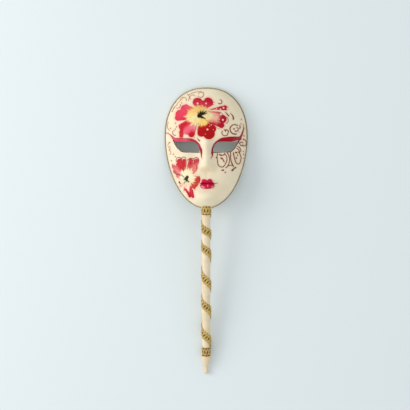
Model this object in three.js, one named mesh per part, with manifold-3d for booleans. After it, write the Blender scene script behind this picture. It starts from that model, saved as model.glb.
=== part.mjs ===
// A hand-held carnival mask on a stick: a hollow papier-mache face with open eyes, a gold cord glued
// round its edge, and a turned wooden stick wound with gold gimp braid.
// It lies on its back on a table: the face looks up (+Z), the forehead points along +Y, and it rests on
// both sides of its edge and on the knob at the end of the stick. Millimetres throughout.
import * as THREE from "three";
import { mergeVertices } from "three/addons/utils/BufferGeometryUtils.js";
import Module from "manifold-3d";

const wasm = await Module();
wasm.setup();

// Driving sizes of the face, measured from the widest level of its outline
const HALF_WIDTH = 77.4;
const TOP_RISE = 92.2;
const CHIN_DROP = 135.6;
const TOP_SQUARENESS = 2.28;
const CHIN_FULLNESS = 1.86;
const WALL = 2.5;
const DOME = 44;
const DOME_FLATNESS = 2.4;
const FACE_Y = 179.8;

// How the mask lies: its edge is an arc seen from the side, lowest a little above the widest level
const REST_RISE = 38;
const CHIN_LIFT = 50;
const REST_FLAT = 0.2;
const ARC = (CHIN_LIFT + REST_FLAT) / (CHIN_DROP + REST_RISE) ** 2;

// Driving sizes of the trim and the stick
const GAP = 0.3;
const CORD_RADIUS = 1;
const CORD_STEPS = 90;
const CORD_SIDES = 6;
const STICK_RADIUS = 8;
const STICK_FOOT_RADIUS = 7.2;
const STICK_INSIDE = 8.6;
const STICK_SIDES = 24;
const KNOB_RADIUS = 4.5;
const KNOB_Y = -269.8;
const KNOB_RINGS = 5;
const KNOB_SPAN = THREE.MathUtils.degToRad(132);
const NECK = { radius: 3.2, from: 9.6, to: 12.4 };
const SHOULDER = { radius: 7.8, from: 26.8, to: 33.3 };
const TAPER_LENGTH = 30;
const END_BEVEL = 0.8;
const BRAID_WIDTH = 15.5;
const BRAID_THICK = 1.5;
const BRAID_BEVEL = 1.2;
const FOOT_BRAID_THICK = 1.2;
const COLLAR_WIDTH = 17.3;
const COLLAR_RIDGES = { rows: 4, depth: 0.35, margin: 0.8, bevel: 0.5 };
const TOP_COLLAR_OVERLAP = 4.1;
const BOTTOM_COLLAR_START = 35.8;

// Where the spiral braid crosses the front of the stick, one entry a turn, measured from the knob's end.
// The strip sways from an even climb, so that it lies flatter across the front.
const BRAID_CROSSINGS = [325, 278, 241.5, 183.5, 132.5, 74.5, 20];
const BRAID_SWAY = 2.5;
const BRAID_STEPS_A_TURN = 18;

// The stick's slope comes from the two points that its axis joins: the chin's edge and the knob
const CHIN_Y = FACE_Y - CHIN_DROP + WALL / 2;
const KNOB_Z = KNOB_RADIUS - REST_FLAT;
const STICK_SLOPE = Math.atan2(CHIN_LIFT - KNOB_Z, CHIN_Y - KNOB_Y);
const STICK_TO_CHIN = KNOB_RADIUS + Math.hypot(CHIN_LIFT - KNOB_Z, CHIN_Y - KNOB_Y);
const STICK_LENGTH = STICK_TO_CHIN + STICK_INSIDE;
const BOTTOM_COLLAR_END = BOTTOM_COLLAR_START + COLLAR_WIDTH;
const TOP_COLLAR_END = STICK_TO_CHIN + TOP_COLLAR_OVERLAP - WALL / 2;

const COLOURS = {
  shell: { color: 0xece2c6, roughness: 0.55, metalness: 0 },
  stick: { color: 0xe9dcb8, roughness: 0.4, metalness: 0 },
  gold: { color: 0xb08d4a, roughness: 0.45, metalness: 0.6 },
};

const hill = (distance, reach) => Math.exp(-((distance / reach) ** 2));

function smoothStep(from, to, value) {
  const t = Math.min(1, Math.max(0, (value - from) / (to - from)));
  return t * t * (3 - 2 * t);
}

// The face's outline, seen from the front, at a direction round its centre
function outlinePoint(angle) {
  const across = Math.cos(angle);
  const up = Math.sin(angle);
  const share =
    up > 0
      ? (1 - up ** TOP_SQUARENESS) ** (1 / TOP_SQUARENESS)
      : Math.sqrt(1 - (-up) ** CHIN_FULLNESS);
  return new THREE.Vector2(
    Math.sign(across) * HALF_WIDTH * share,
    up > 0 ? TOP_RISE * up : CHIN_DROP * up,
  );
}

const edgeHeight = (v) => Math.max(0, ARC * (v - REST_RISE) ** 2 - REST_FLAT);

// The nose ridge, from between the brows to its tip and back under it
const NOSE = { top: 12, bridgeAt: -14, tip: -56, base: -72 };
const NOSE_RIDGE = { bridge: 4.5, tip: 9, rootWidth: 10, tipWidth: 12, roundness: 2.1, sweep: 1.4 };

function noseRelief(x, v) {
  const along = smoothStep(NOSE.top, NOSE.tip, v);
  const bridge = NOSE_RIDGE.bridge * smoothStep(NOSE.top, NOSE.bridgeAt, v);
  const ridge = bridge + NOSE_RIDGE.tip * along ** NOSE_RIDGE.sweep;
  const under = smoothStep(NOSE.base, NOSE.tip, v);
  const width = NOSE_RIDGE.rootWidth + (NOSE_RIDGE.tipWidth - NOSE_RIDGE.rootWidth) * along;
  return ridge * under * Math.exp(-(Math.abs(x / width) ** NOSE_RIDGE.roundness));
}

// The other broad forms: round hills and hollows, alike on both sides of the face
const FORMS = [
  { what: "brow", height: 1.2, x: 46, v: 1, halfWidth: 24, halfRise: 10, fullness: 2 },
  { what: "eye socket", height: -6, x: 38, v: -21, halfWidth: 27, halfRise: 15, fullness: 2.5 },
  { what: "nose wing", height: 3, x: 11.5, v: -61, halfWidth: 5.5, halfRise: 6.5, fullness: 2 },
  { what: "cheek", height: 4, x: 43, v: -54, halfWidth: 25, halfRise: 24, fullness: 2 },
  { what: "muzzle", height: 4, x: 0, v: -88, halfWidth: 27, halfRise: 19, fullness: 2 },
  { what: "hollow under the lip", height: -2, x: 0, v: -103, halfWidth: 15, halfRise: 4.5, fullness: 2 },
  { what: "chin", height: 6, x: 0, v: -117, halfWidth: 21, halfRise: 12, fullness: 2 },
];

// The inside of the wall follows these broad forms too
function broadRelief(x, v) {
  const side = Math.abs(x);
  return FORMS.reduce((sum, form) => {
    const across = Math.abs((side - form.x) / form.halfWidth) ** form.fullness;
    const along = Math.abs((v - form.v) / form.halfRise) ** form.fullness;
    return sum + form.height * Math.exp(-across - along);
  }, noseRelief(x, v));
}

// The lips, and the groove above them
const MOUTH = { middle: 1.5, halfWidth: 15, line: -90.5, lineBend: 1.2, upper: 9.7, lower: 9.3 };
const BOW = { dip: 0.22, halfWidth: 2.6 };
const LIP_HEIGHT = { upper: 3, lower: 3.6, crease: 1.2 };
const GROOVE = { depth: 0.8, halfWidth: 3.5, from: [-66, -72], to: [-82, -78] };

function lipRelief(x, v) {
  const side = x - MOUTH.middle;
  const across = Math.abs(side) / MOUTH.halfWidth;
  const ends = smoothStep(...GROOVE.from, v) * smoothStep(...GROOVE.to, v);
  const groove = -GROOVE.depth * hill(side, GROOVE.halfWidth) * ends;
  if (across >= 1) return groove;
  const line = MOUTH.line + MOUTH.lineBend * across ** 2;
  const bow = MOUTH.upper * (1 - across ** 1.7) * (1 - BOW.dip * hill(side, BOW.halfWidth));
  const fall = MOUTH.lower * (1 - across ** 2.4);
  const isUpper = v > line;
  const share = isUpper ? (v - line) / bow : (line - v) / fall;
  if (share >= 1) return groove;
  const swell = (4 * share * (1 - share)) ** 0.7 * (1 - across ** 3);
  const crease = LIP_HEIGHT.crease * (1 - share) ** 4;
  return groove + (isUpper ? LIP_HEIGHT.upper : LIP_HEIGHT.lower) * swell - crease;
}

// A grid square of -1 to 1 laid over the egg-shaped face without a pole, with rings packed at the edge
const RING_PACKING = 0.19;

// The share of the way out to the edge at which the relief begins to fade into the dome
const RELIEF_REACH = 0.86;

function facePoint(p, q) {
  const across = p * Math.sqrt(1 - (q * q) / 2);
  const up = q * Math.sqrt(1 - (p * p) / 2);
  const ring = Math.min(1, Math.hypot(across, up));
  const reach = (1 + RING_PACKING) * ring - RING_PACKING * ring ** 6;
  const outline = outlinePoint(Math.atan2(up, across)).multiplyScalar(reach);
  return { x: outline.x, v: outline.y, reach: Math.min(1, reach) };
}

function faceHeight({ x, v, reach }, carving) {
  const dome = DOME * Math.sqrt(1 - reach ** DOME_FLATNESS);
  const relief = broadRelief(x, v) + (carving ? lipRelief(x, v) : 0);
  return edgeHeight(v) + dome + smoothStep(1, RELIEF_REACH, reach) * relief;
}

function faceSurface(p, q, carving) {
  const at = facePoint(p, q);
  return new THREE.Vector3(at.x, at.v, faceHeight(at, carving));
}

function faceNormal(p, q, carving) {
  const step = 0.01;
  const low = (value) => Math.max(-1, value - step);
  const high = (value) => Math.min(1, value + step);
  const alongP = faceSurface(high(p), q, carving).sub(faceSurface(low(p), q, carving));
  const alongQ = faceSurface(p, high(q), carving).sub(faceSurface(p, low(q), carving));
  return alongP.cross(alongQ).normalize();
}

// Grid lines from -1 to 1, closer together where the density says that the face has more detail
function gridLines(count, density) {
  const samples = 2000;
  const total = [0];
  for (let i = 1; i <= samples; i += 1) {
    total.push(total[i - 1] + density(-1 + (2 * (i - 0.5)) / samples));
  }
  const lines = [];
  let i = 0;
  for (let k = 0; k <= count; k += 1) {
    while (i < samples && total[i] < (total[samples] * k) / count) i += 1;
    lines.push(-1 + (2 * i) / samples);
  }
  return lines;
}

const nearMiddle = (p) => 1 + 1.4 * hill(p, 0.2);
const nearMouthAndEyes = (q) => 1 + 1.6 * hill(q + 0.57, 0.14) + 0.5 * hill(q + 0.12, 0.12);
const COLUMNS = gridLines(34, nearMiddle);
const ROWS = gridLines(44, nearMouthAndEyes);

// One skin of the wall as rows of points; the rim's points lie on one level, so the edge is cut flat
function skin(columns, rows, offset, carving, lowerRim) {
  return rows.map((q) =>
    columns.map((p) => {
      const point = faceSurface(p, q, carving);
      const onRim = Math.abs(p) === 1 || Math.abs(q) === 1;
      const normal = faceNormal(p, q, carving);
      if (onRim) normal.setZ(0).normalize();
      point.addScaledVector(normal, offset);
      if (onRim) point.z = edgeHeight(facePoint(p, q).v) - lowerRim;
      return point;
    }),
  );
}

function addQuads(triangles, grid, flip) {
  for (let j = 0; j + 1 < grid.length; j += 1) {
    for (let i = 0; i + 1 < grid[j].length; i += 1) {
      const [a, b, c, d] = [grid[j][i], grid[j][i + 1], grid[j + 1][i + 1], grid[j + 1][i]];
      const pair = (i + j) % 2 ? [a, b, c, a, c, d] : [a, b, d, b, c, d];
      triangles.push(...(flip ? pair.reverse() : pair));
    }
  }
}

function boundary(grid) {
  const last = grid.length - 1;
  const end = grid[0].length - 1;
  const loop = [];
  for (let i = 0; i < end; i += 1) loop.push(grid[0][i]);
  for (let j = 0; j < last; j += 1) loop.push(grid[j][end]);
  for (let i = end; i > 0; i -= 1) loop.push(grid[last][i]);
  for (let j = last; j > 0; j -= 1) loop.push(grid[j][0]);
  return loop;
}

function solidFromTriangles(points) {
  const geometry = new THREE.BufferGeometry().setFromPoints(points);
  return solidFromGeometry(geometry);
}

function solidFromGeometry(geometry) {
  const bare = geometry.clone();
  bare.deleteAttribute("normal");
  bare.deleteAttribute("uv");
  const merged = mergeVertices(bare, 1e-4);
  return new wasm.Manifold(
    new wasm.Mesh({
      numProp: 3,
      vertProperties: merged.attributes.position.array,
      triVerts: new Uint32Array(merged.index.array),
    }),
  );
}

function geometryFromSolid(solid) {
  const mesh = solid.getMesh();
  const geometry = new THREE.BufferGeometry();
  geometry.setAttribute("position", new THREE.BufferAttribute(mesh.vertProperties, 3));
  geometry.setIndex(new THREE.BufferAttribute(mesh.triVerts, 1));
  return geometry;
}

// The papier-mache wall without its eyes. Grown, it is the room that its neighbours leave for it.
function wallSolid(grow) {
  const outer = skin(COLUMNS, ROWS, grow, true, grow);
  const every2nd = (lines) => lines.filter((_, i) => i % 2 === 0);
  const inner = skin(every2nd(COLUMNS), every2nd(ROWS), -WALL - grow, false, grow);
  const triangles = [];
  addQuads(triangles, outer, false);
  addQuads(triangles, inner, true);
  const outside = boundary(outer);
  const inside = boundary(inner);
  inside.forEach((from, k) => {
    const to = inside[(k + 1) % inside.length];
    const [a, b, c] = [0, 1, 2].map((n) => outside[(2 * k + n) % outside.length]);
    triangles.push(b, a, from, b, from, to, c, b, to);
  });
  return solidFromTriangles(triangles);
}

// An eye opening seen from the front: a steep inner end and a pointed outer corner, for +x
function eyeShape() {
  const eye = new THREE.Shape();
  eye.moveTo(12.4, -31.6);
  eye.bezierCurveTo(24, -31.2, 36, -32, 43.5, -30);
  eye.bezierCurveTo(51, -28, 56.5, -19.5, 61, -9);
  eye.bezierCurveTo(52, -11.4, 42, -10.8, 31, -10.8);
  eye.bezierCurveTo(18, -10.8, 13.4, -18, 12.4, -31.6);
  return eye;
}

const EYE_CURVE_STEPS = 9;
const CUTTER_HEIGHT = 100;

function eyeCutters() {
  const right = new THREE.ExtrudeGeometry(eyeShape(), {
    depth: CUTTER_HEIGHT,
    bevelEnabled: false,
    curveSegments: EYE_CURVE_STEPS,
  });
  const cutter = solidFromGeometry(right);
  return [cutter, cutter.mirror([1, 0, 0])];
}

function shellGeometry() {
  const [rightEye, leftEye] = eyeCutters();
  return geometryFromSolid(wallSolid(0).subtract(rightEye).subtract(leftEye));
}

// The gold cord lies against the outside of the edge, open at the chin where the stick comes in
function cordGeometry() {
  const reach = CORD_RADIUS + GAP;
  const halfOpening = (STICK_RADIUS + BRAID_THICK + 3 * GAP) / HALF_WIDTH;
  const start = -Math.PI / 2 + halfOpening;
  const turn = 2 * Math.PI - 2 * halfOpening;
  const points = [];
  for (let i = 0; i <= CORD_STEPS; i += 1) {
    const angle = start + (turn * i) / CORD_STEPS;
    const here = outlinePoint(angle);
    const along = outlinePoint(angle + 0.01).sub(outlinePoint(angle - 0.01));
    const outward = new THREE.Vector2(along.y, -along.x).normalize();
    here.addScaledVector(outward, reach);
    points.push(new THREE.Vector3(here.x, here.y, edgeHeight(here.y) + CORD_RADIUS + GAP));
  }
  return new THREE.ExtrudeGeometry(roundSection(CORD_RADIUS, CORD_SIDES), {
    steps: CORD_STEPS,
    extrudePath: new THREE.CatmullRomCurve3(points),
    bevelEnabled: false,
  });
}

function roundSection(radius, sides) {
  const shape = new THREE.Shape();
  for (let i = 0; i < sides; i += 1) {
    const angle = (2 * Math.PI * i) / sides;
    const method = i === 0 ? "moveTo" : "lineTo";
    shape[method](radius * Math.cos(angle), radius * Math.sin(angle));
  }
  return shape;
}

// A lathe profile is a list of [radius, distance from the knob's end]. The stick's own frame has its
// axis along +Y, from the knob at 0 to the chin, and its front along +Z.
function latheSolid(profile, sides) {
  const points = profile.map(([radius, height]) => new THREE.Vector2(radius, height));
  return solidFromGeometry(new THREE.LatheGeometry(points, sides));
}

function stickProfile() {
  const profile = [[0, 0]];
  for (let i = 1; i <= KNOB_RINGS; i += 1) {
    const angle = (KNOB_SPAN * i) / KNOB_RINGS;
    profile.push([KNOB_RADIUS * Math.sin(angle), KNOB_RADIUS * (1 - Math.cos(angle))]);
  }
  profile.push([NECK.radius, NECK.from], [NECK.radius, NECK.to]);
  const rings = 5;
  for (let i = 1; i < rings; i += 1) {
    const t = i / rings;
    const rise = 0.45 * t + 0.55 * smoothStep(0, 1, t);
    const radius = NECK.radius + (SHOULDER.radius - NECK.radius) * rise;
    profile.push([radius, NECK.to + (SHOULDER.from - NECK.to) * t]);
  }
  profile.push([SHOULDER.radius, SHOULDER.from], [SHOULDER.radius, SHOULDER.to]);
  profile.push([STICK_FOOT_RADIUS, SHOULDER.to + 1.5], [STICK_FOOT_RADIUS, BOTTOM_COLLAR_END]);
  profile.push([STICK_RADIUS, BOTTOM_COLLAR_END + TAPER_LENGTH]);
  profile.push([STICK_RADIUS, STICK_LENGTH - END_BEVEL]);
  profile.push([STICK_RADIUS - END_BEVEL, STICK_LENGTH], [0, STICK_LENGTH]);
  return profile;
}

function placeStick(object) {
  object.rotation.x = STICK_SLOPE;
  object.position.set(
    0,
    KNOB_Y - KNOB_RADIUS * Math.cos(STICK_SLOPE),
    KNOB_Z - KNOB_RADIUS * Math.sin(STICK_SLOPE),
  );
  object.updateMatrixWorld(true);
  return object;
}

// The grown wall, brought into the stick's own frame, cuts the saw cut that holds the chin's edge
function chinRoom() {
  const face = new THREE.Object3D();
  face.position.y = FACE_Y;
  face.updateMatrixWorld(true);
  const toStick = placeStick(new THREE.Object3D()).matrixWorld.clone().invert();
  return wallSolid(GAP).transform(toStick.multiply(face.matrixWorld).toArray());
}

// The table's plane, seen from the stick's frame, wears a small flat on the knob
function tableSolid() {
  const slab = new THREE.BoxGeometry(60, 60, 20).translate(0, KNOB_Y, -20 / 2);
  const toStick = placeStick(new THREE.Object3D()).matrixWorld.clone().invert();
  return solidFromGeometry(slab).transform(toStick.toArray());
}

// A level collar of braid, its face ridged by the rows of cord
function collarProfile(from, stickRadius, thickness) {
  const inner = stickRadius + GAP;
  const outer = inner + thickness;
  const to = from + COLLAR_WIDTH;
  const { rows, depth, margin, bevel } = COLLAR_RIDGES;
  const profile = [[inner, from], [outer - bevel, from]];
  for (let i = 0; i <= 2 * rows; i += 1) {
    const at = from + margin + ((COLLAR_WIDTH - 2 * margin) * i) / (2 * rows);
    profile.push([outer - (i % 2 ? depth : 0), at]);
  }
  profile.push([outer - bevel, to], [inner, to], [inner, from]);
  return profile;
}

// Height of the spiral's centre line on the stick after a number of turns, through the crossings
function braidHeight(turns) {
  const last = BRAID_CROSSINGS.length - 1;
  const knot = Math.min(last - 1, Math.max(0, Math.floor(turns)));
  const t = turns - knot;
  const at = (k) => {
    if (k < 0) return 2 * BRAID_CROSSINGS[0] - BRAID_CROSSINGS[1];
    if (k > last) return 2 * BRAID_CROSSINGS[last] - BRAID_CROSSINGS[last - 1];
    return BRAID_CROSSINGS[k];
  };
  const [a, b, c, d] = [at(knot - 1), at(knot), at(knot + 1), at(knot + 2)];
  const even = b + 0.5 * t * (c - a + t * (2 * a - 5 * b + 4 * c - d + t * (3 * (b - c) + d - a)));
  return even + BRAID_SWAY * Math.sin(2 * Math.PI * turns);
}

// A point of the braid, given its turns down the stick, its place across the strip and its radius
function braidPoint(turns, across, radius) {
  const wrap = 2 * Math.PI * (STICK_RADIUS + GAP);
  const climb = (braidHeight(turns + 0.01) - braidHeight(turns - 0.01)) / 0.02;
  const length = Math.hypot(wrap, climb);
  const angle = 2 * Math.PI * (turns - ((climb / length) * across) / wrap);
  const height = braidHeight(turns) + (wrap / length) * across;
  return new THREE.Vector3(radius * Math.sin(angle), height, radius * Math.cos(angle));
}

function spiralSolid() {
  const inner = STICK_RADIUS + GAP;
  const outer = inner + BRAID_THICK;
  const wide = [-0.5, -0.25, 0, 0.25, 0.5];
  const under = wide.map((share) => [share * BRAID_WIDTH, inner]);
  const over = wide.map((share) => [-share * (BRAID_WIDTH - BRAID_BEVEL), outer]);
  const section = [...under, ...over];
  const turns = BRAID_CROSSINGS.length - 1;
  const steps = turns * BRAID_STEPS_A_TURN;
  const rings = [];
  for (let i = 0; i <= steps; i += 1) {
    rings.push(section.map(([across, radius]) => braidPoint((turns * i) / steps, across, radius)));
  }
  const triangles = [];
  const sides = section.length;
  for (let i = 0; i < steps; i += 1) {
    for (let k = 0; k < sides; k += 1) {
      const next = (k + 1) % sides;
      const [a, b, c, d] = [rings[i][k], rings[i][next], rings[i + 1][next], rings[i + 1][k]];
      const steep = Math.abs(a.y - c.y) > Math.abs(b.y - d.y);
      triangles.push(...(steep ? [a, b, c, a, c, d] : [a, b, d, b, c, d]));
    }
  }
  for (let k = 0; k + 1 < sides / 2; k += 1) {
    const corners = [k, k + 1, sides - 2 - k, sides - 1 - k];
    const [a, b, c, d] = corners.map((corner) => rings[0][corner]);
    triangles.push(a, c, b, a, d, c);
    const [e, f, g, h] = corners.map((corner) => rings[steps][corner]);
    triangles.push(e, f, g, e, g, h);
  }
  return solidFromTriangles(triangles);
}

// Only the stretch between the two collars is left, so the strip runs on from one to the other
function spiralGeometry() {
  const from = BOTTOM_COLLAR_END + GAP;
  const to = TOP_COLLAR_END - COLLAR_WIDTH - GAP;
  const beyond = 2 * STICK_RADIUS + BRAID_THICK;
  const stretch = latheSolid([[0, from], [beyond, from], [beyond, to], [0, to]], STICK_SIDES);
  return geometryFromSolid(spiralSolid().intersect(stretch));
}

function piece(name, geometry, look) {
  geometry.computeVertexNormals();
  const mesh = new THREE.Mesh(geometry, new THREE.MeshStandardMaterial(COLOURS[look]));
  mesh.name = name;
  return mesh;
}

const face = new THREE.Group();
face.position.y = FACE_Y;
face.add(piece("mask_shell", shellGeometry(), "shell"));
face.add(piece("edge_cord", cordGeometry(), "gold"));

const room = chinRoom();
const stickSolid = latheSolid(stickProfile(), STICK_SIDES).subtract(room).subtract(tableSolid());
const topProfile = collarProfile(TOP_COLLAR_END - COLLAR_WIDTH, STICK_RADIUS, BRAID_THICK);
const topCollar = latheSolid(topProfile, STICK_SIDES).subtract(room);
const bottomProfile = collarProfile(BOTTOM_COLLAR_START, STICK_FOOT_RADIUS, FOOT_BRAID_THICK);
const bottomCollar = latheSolid(bottomProfile, STICK_SIDES);

const handle = placeStick(new THREE.Group());
handle.add(piece("stick", geometryFromSolid(stickSolid), "stick"));
handle.add(piece("top_collar_braid", geometryFromSolid(topCollar), "gold"));
handle.add(piece("spiral_braid", spiralGeometry(), "gold"));
handle.add(piece("bottom_collar_braid", geometryFromSolid(bottomCollar), "gold"));

const mask = new THREE.Group();
mask.add(face, handle);

export default mask;
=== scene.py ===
# %% [markdown]
# A carnival mask on a stick, lying on its back on a pale table
#
# The real thing is a papier-mache face under ivory enamel, painted by hand with flowers and
# curls. A twisted gold cord is glued round its edge. Its chin sits in a saw cut in a turned
# stick, and the stick is wound with gold gimp braid. The measured model gives every piece its
# place. This lesson models the fine surface of each piece over it, mixes the paint from nodes,
# and lights the scene.

# %% The measured frame
import math
from contextlib import contextmanager

import bpy
import numpy as np
from mathutils import Matrix, Vector


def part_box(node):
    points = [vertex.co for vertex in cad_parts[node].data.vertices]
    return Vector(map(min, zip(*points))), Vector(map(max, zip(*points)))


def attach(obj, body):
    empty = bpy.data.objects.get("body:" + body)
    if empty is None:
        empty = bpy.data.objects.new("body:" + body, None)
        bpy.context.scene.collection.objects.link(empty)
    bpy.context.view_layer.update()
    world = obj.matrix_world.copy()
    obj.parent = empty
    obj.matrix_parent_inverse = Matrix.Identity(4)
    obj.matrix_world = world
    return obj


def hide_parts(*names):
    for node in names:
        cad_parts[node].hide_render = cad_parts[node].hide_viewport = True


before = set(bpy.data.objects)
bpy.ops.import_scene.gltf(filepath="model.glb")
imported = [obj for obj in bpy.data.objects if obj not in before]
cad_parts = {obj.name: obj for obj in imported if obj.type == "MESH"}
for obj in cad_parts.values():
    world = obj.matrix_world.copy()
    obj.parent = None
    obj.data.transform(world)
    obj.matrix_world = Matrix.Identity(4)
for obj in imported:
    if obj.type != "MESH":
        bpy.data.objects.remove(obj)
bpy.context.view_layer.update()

MM = 0.001

# %% [markdown]
# The camera
#
# The mask was photographed from straight above with a long lens, so the camera hangs 2.2 metres
# over the table and looks down with the forehead at the top of the frame. A long lens keeps the
# face from bulging towards the viewer.

# %% The camera
CAMERA_HEIGHT = 2.2
FRAME_WIDTH = 0.787
FRAME_CENTRE = (-0.0023, 0.0492)
SENSOR_WIDTH = 36

camera_data = bpy.data.cameras.new("camera")
camera_data.sensor_width = SENSOR_WIDTH
camera_data.lens = SENSOR_WIDTH * CAMERA_HEIGHT / FRAME_WIDTH
camera = bpy.data.objects.new("camera", camera_data)
camera.location = (*FRAME_CENTRE, CAMERA_HEIGHT)
bpy.context.scene.collection.objects.link(camera)
bpy.context.scene.camera = camera
print("lens", round(camera_data.lens, 1), "mm")

# %% [markdown]
# Helpers for modelling
#
# Operators act on whatever is selected, and a freshly loaded scene comes with things selected. So
# each piece starts with nothing selected, is built as one active object, and ends with its place
# baked into its mesh. The helpers below keep that in one spot.

# %% Selecting, adding, editing
MERGE_WITHIN = 1e-6


def only(thing):
    """Selects one object alone and makes it active."""
    bpy.ops.object.select_all(action="DESELECT")
    thing.select_set(True)
    bpy.context.view_layer.objects.active = thing
    return thing


def added(name, primitive, **settings):
    """Adds a primitive with nothing else selected, and names it."""
    bpy.ops.object.select_all(action="DESELECT")
    primitive(**settings)
    thing = bpy.context.object
    thing.name = name
    thing.data.name = name
    return only(thing)


@contextmanager
def edit_mode(thing):
    """Edit mode with the whole of one object selected, for the lines indented under it."""
    only(thing)
    bpy.ops.object.mode_set(mode="EDIT")
    bpy.ops.mesh.select_all(action="SELECT")
    yield
    bpy.ops.object.mode_set(mode="OBJECT")


# %% Reading and shaping a mesh
def places(mesh):
    """A mesh's points as rows of x, y, z."""
    flat = np.empty(len(mesh.vertices) * 3)
    mesh.vertices.foreach_get("co", flat)
    return flat.reshape(-1, 3)


def set_places(mesh, points):
    """Moves a mesh's points to new places."""
    mesh.vertices.foreach_set("co", np.asarray(points, dtype=float).ravel())
    mesh.update()


def applied(thing, kind, **settings):
    """Adds a modifier, sets it and applies it."""
    only(thing)
    modifier = thing.modifiers.new(kind.lower(), kind)
    for key, value in settings.items():
        setattr(modifier, key, value)
    bpy.ops.object.modifier_apply(modifier=modifier.name)


def faces_out(thing):
    """Merges doubles and turns every face outwards."""
    with edit_mode(thing):
        bpy.ops.mesh.remove_doubles(threshold=MERGE_WITHIN)
        bpy.ops.mesh.normals_make_consistent(inside=False)


def told(thing):
    """Prints what a step made."""
    size = np.ptp(places(thing.data), axis=0) / MM
    print(thing.name, len(thing.data.polygons), "faces,", size.round(1), "mm")
    return thing


# %% [markdown]
# The form of the face
#
# The face is an egg-shaped outline with a dome over it. Nose, brows, eye sockets, cheeks, muzzle,
# chin and lips are smooth hills and hollows added to the dome. They are formulas of the place on
# the face, so the same face can be drawn with few points or with many. Everything here is in
# millimetres, measured from the middle of the face at its widest level: x to the viewer's right,
# v towards the forehead.

# %% The outline and the dome
HALF_WIDTH = 77.4
TOP_RISE = 92.2
CHIN_DROP = 135.6
TOP_SQUARENESS = 2.28
CHIN_FULLNESS = 1.86
WALL = 2.5
DOME = 44
DOME_FLATNESS = 2.4
REST_RISE = 38
CHIN_LIFT = 50
REST_FLAT = 0.2
ARC = (CHIN_LIFT + REST_FLAT) / (CHIN_DROP + REST_RISE) ** 2
FACE_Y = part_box("mask_shell")[1][1] / MM - TOP_RISE


def hill(distance, reach):
    """A smooth hill of height one."""
    return np.exp(-((distance / reach) ** 2))


def smooth_step(start, end, value):
    """Goes smoothly from nothing at start to one at end."""
    t = np.clip((value - start) / (end - start), 0, 1)
    return t * t * (3 - 2 * t)


def outline(angle):
    """The edge of the face at an angle round its middle."""
    across, up = np.cos(angle), np.sin(angle)
    rise, drop = np.clip(up, 0, 1), np.clip(-up, 0, 1)
    upper = (1 - rise**TOP_SQUARENESS) ** (1 / TOP_SQUARENESS)
    lower = np.sqrt(1 - drop**CHIN_FULLNESS)
    x = HALF_WIDTH * np.sign(across) * np.where(up > 0, upper, lower)
    return x, TOP_RISE * rise - CHIN_DROP * drop


def edge_height(v):
    """Height of the edge over the table: an arc that is lowest beside the brow."""
    return np.maximum(0, ARC * (v - REST_RISE) ** 2 - REST_FLAT)


print("the face's middle lies at y", round(FACE_Y, 1), "mm")


# %% The features
NOSE_ROOT, NOSE_BRIDGE, NOSE_TIP, NOSE_FOOT = 12, -14, -56, -72
BRIDGE_RISE, TIP_RISE = 4.5, 9
NOSE_HALF_WIDTH, TIP_FLARE = 10, 2

# name: height, middle x and v, half width, half rise, fullness
FORMS = {
    "brow": (1.2, 46, 1, 24, 10, 2),
    "eye socket": (-6, 38, -21, 27, 15, 2.5),
    "nose wing": (3, 11.5, -61, 5.5, 6.5, 2),
    "cheek": (4, 43, -54, 25, 24, 2),
    "muzzle": (4, 0, -88, 27, 19, 2),
    "hollow under the lip": (-2, 0, -103, 15, 4.5, 2),
    "chin": (6, 0, -117, 21, 12, 2),
}


def nose(x, v):
    """A ridge that rises and widens from the brows to the tip."""
    along = smooth_step(NOSE_ROOT, NOSE_TIP, v)
    ridge = BRIDGE_RISE * smooth_step(NOSE_ROOT, NOSE_BRIDGE, v) + TIP_RISE * along**1.4
    width = NOSE_HALF_WIDTH + TIP_FLARE * along
    return ridge * smooth_step(NOSE_FOOT, NOSE_TIP, v) * np.exp(-(np.abs(x / width) ** 2.1))


def broad_relief(x, v):
    """The nose and the broad forms together, the same on both sides."""
    total = nose(x, v)
    for height, at_x, at_v, half_width, half_rise, fullness in FORMS.values():
        across = np.abs((np.abs(x) - at_x) / half_width) ** fullness
        total = total + height * np.exp(-across - np.abs((v - at_v) / half_rise) ** fullness)
    return total


print("on the dome: nose,", ", ".join(FORMS))

# %% The modelled lips
MOUTH_MIDDLE = 1.5
MOUTH_HALF_WIDTH = 15
MOUTH_LINE = -90.5
UPPER_LIP, UPPER_SWELL = 9.7, 3
LOWER_LIP, LOWER_SWELL = 9.3, 3.6
LIP_EDGE_DIP = 1.2
GROOVE_DEPTH, GROOVE_HALF_WIDTH = 0.8, 3.5
GROOVE_TOP, GROOVE_FOOT = (-66, -72), (-82, -78)


def lip_relief(x, v):
    """The lips, and the groove above them."""
    side = x - MOUTH_MIDDLE
    groove = -GROOVE_DEPTH * hill(side, GROOVE_HALF_WIDTH)
    groove = groove * smooth_step(*GROOVE_TOP, v) * smooth_step(*GROOVE_FOOT, v)
    across = np.clip(np.abs(side) / MOUTH_HALF_WIDTH, 0, 0.999)
    line = MOUTH_LINE + 1.2 * across**2
    bow = UPPER_LIP * (1 - across**1.7) * (1 - 0.22 * hill(side, 2.6))
    fall = LOWER_LIP * (1 - across**2.4)
    upper = v > line
    share = np.clip(np.where(upper, (v - line) / bow, (line - v) / fall), 0, 1)
    swell = np.where(upper, UPPER_SWELL, LOWER_SWELL)
    swell = swell * (4 * share * (1 - share)) ** 0.7 * (1 - across**3)
    on_lips = (np.abs(side) < MOUTH_HALF_WIDTH) & (share < 1)
    return groove + np.where(on_lips, swell - LIP_EDGE_DIP * (1 - share) ** 4, 0)


# %% From a square grid to the face
RING_PACKING, PACKING_POWER = 0.19, 6
RELIEF_ENDS = 0.86
NORMAL_STEP = 0.004


def unit(vectors):
    """Rows brought to a length of one."""
    return vectors / np.linalg.norm(vectors, axis=-1, keepdims=True)


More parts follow.
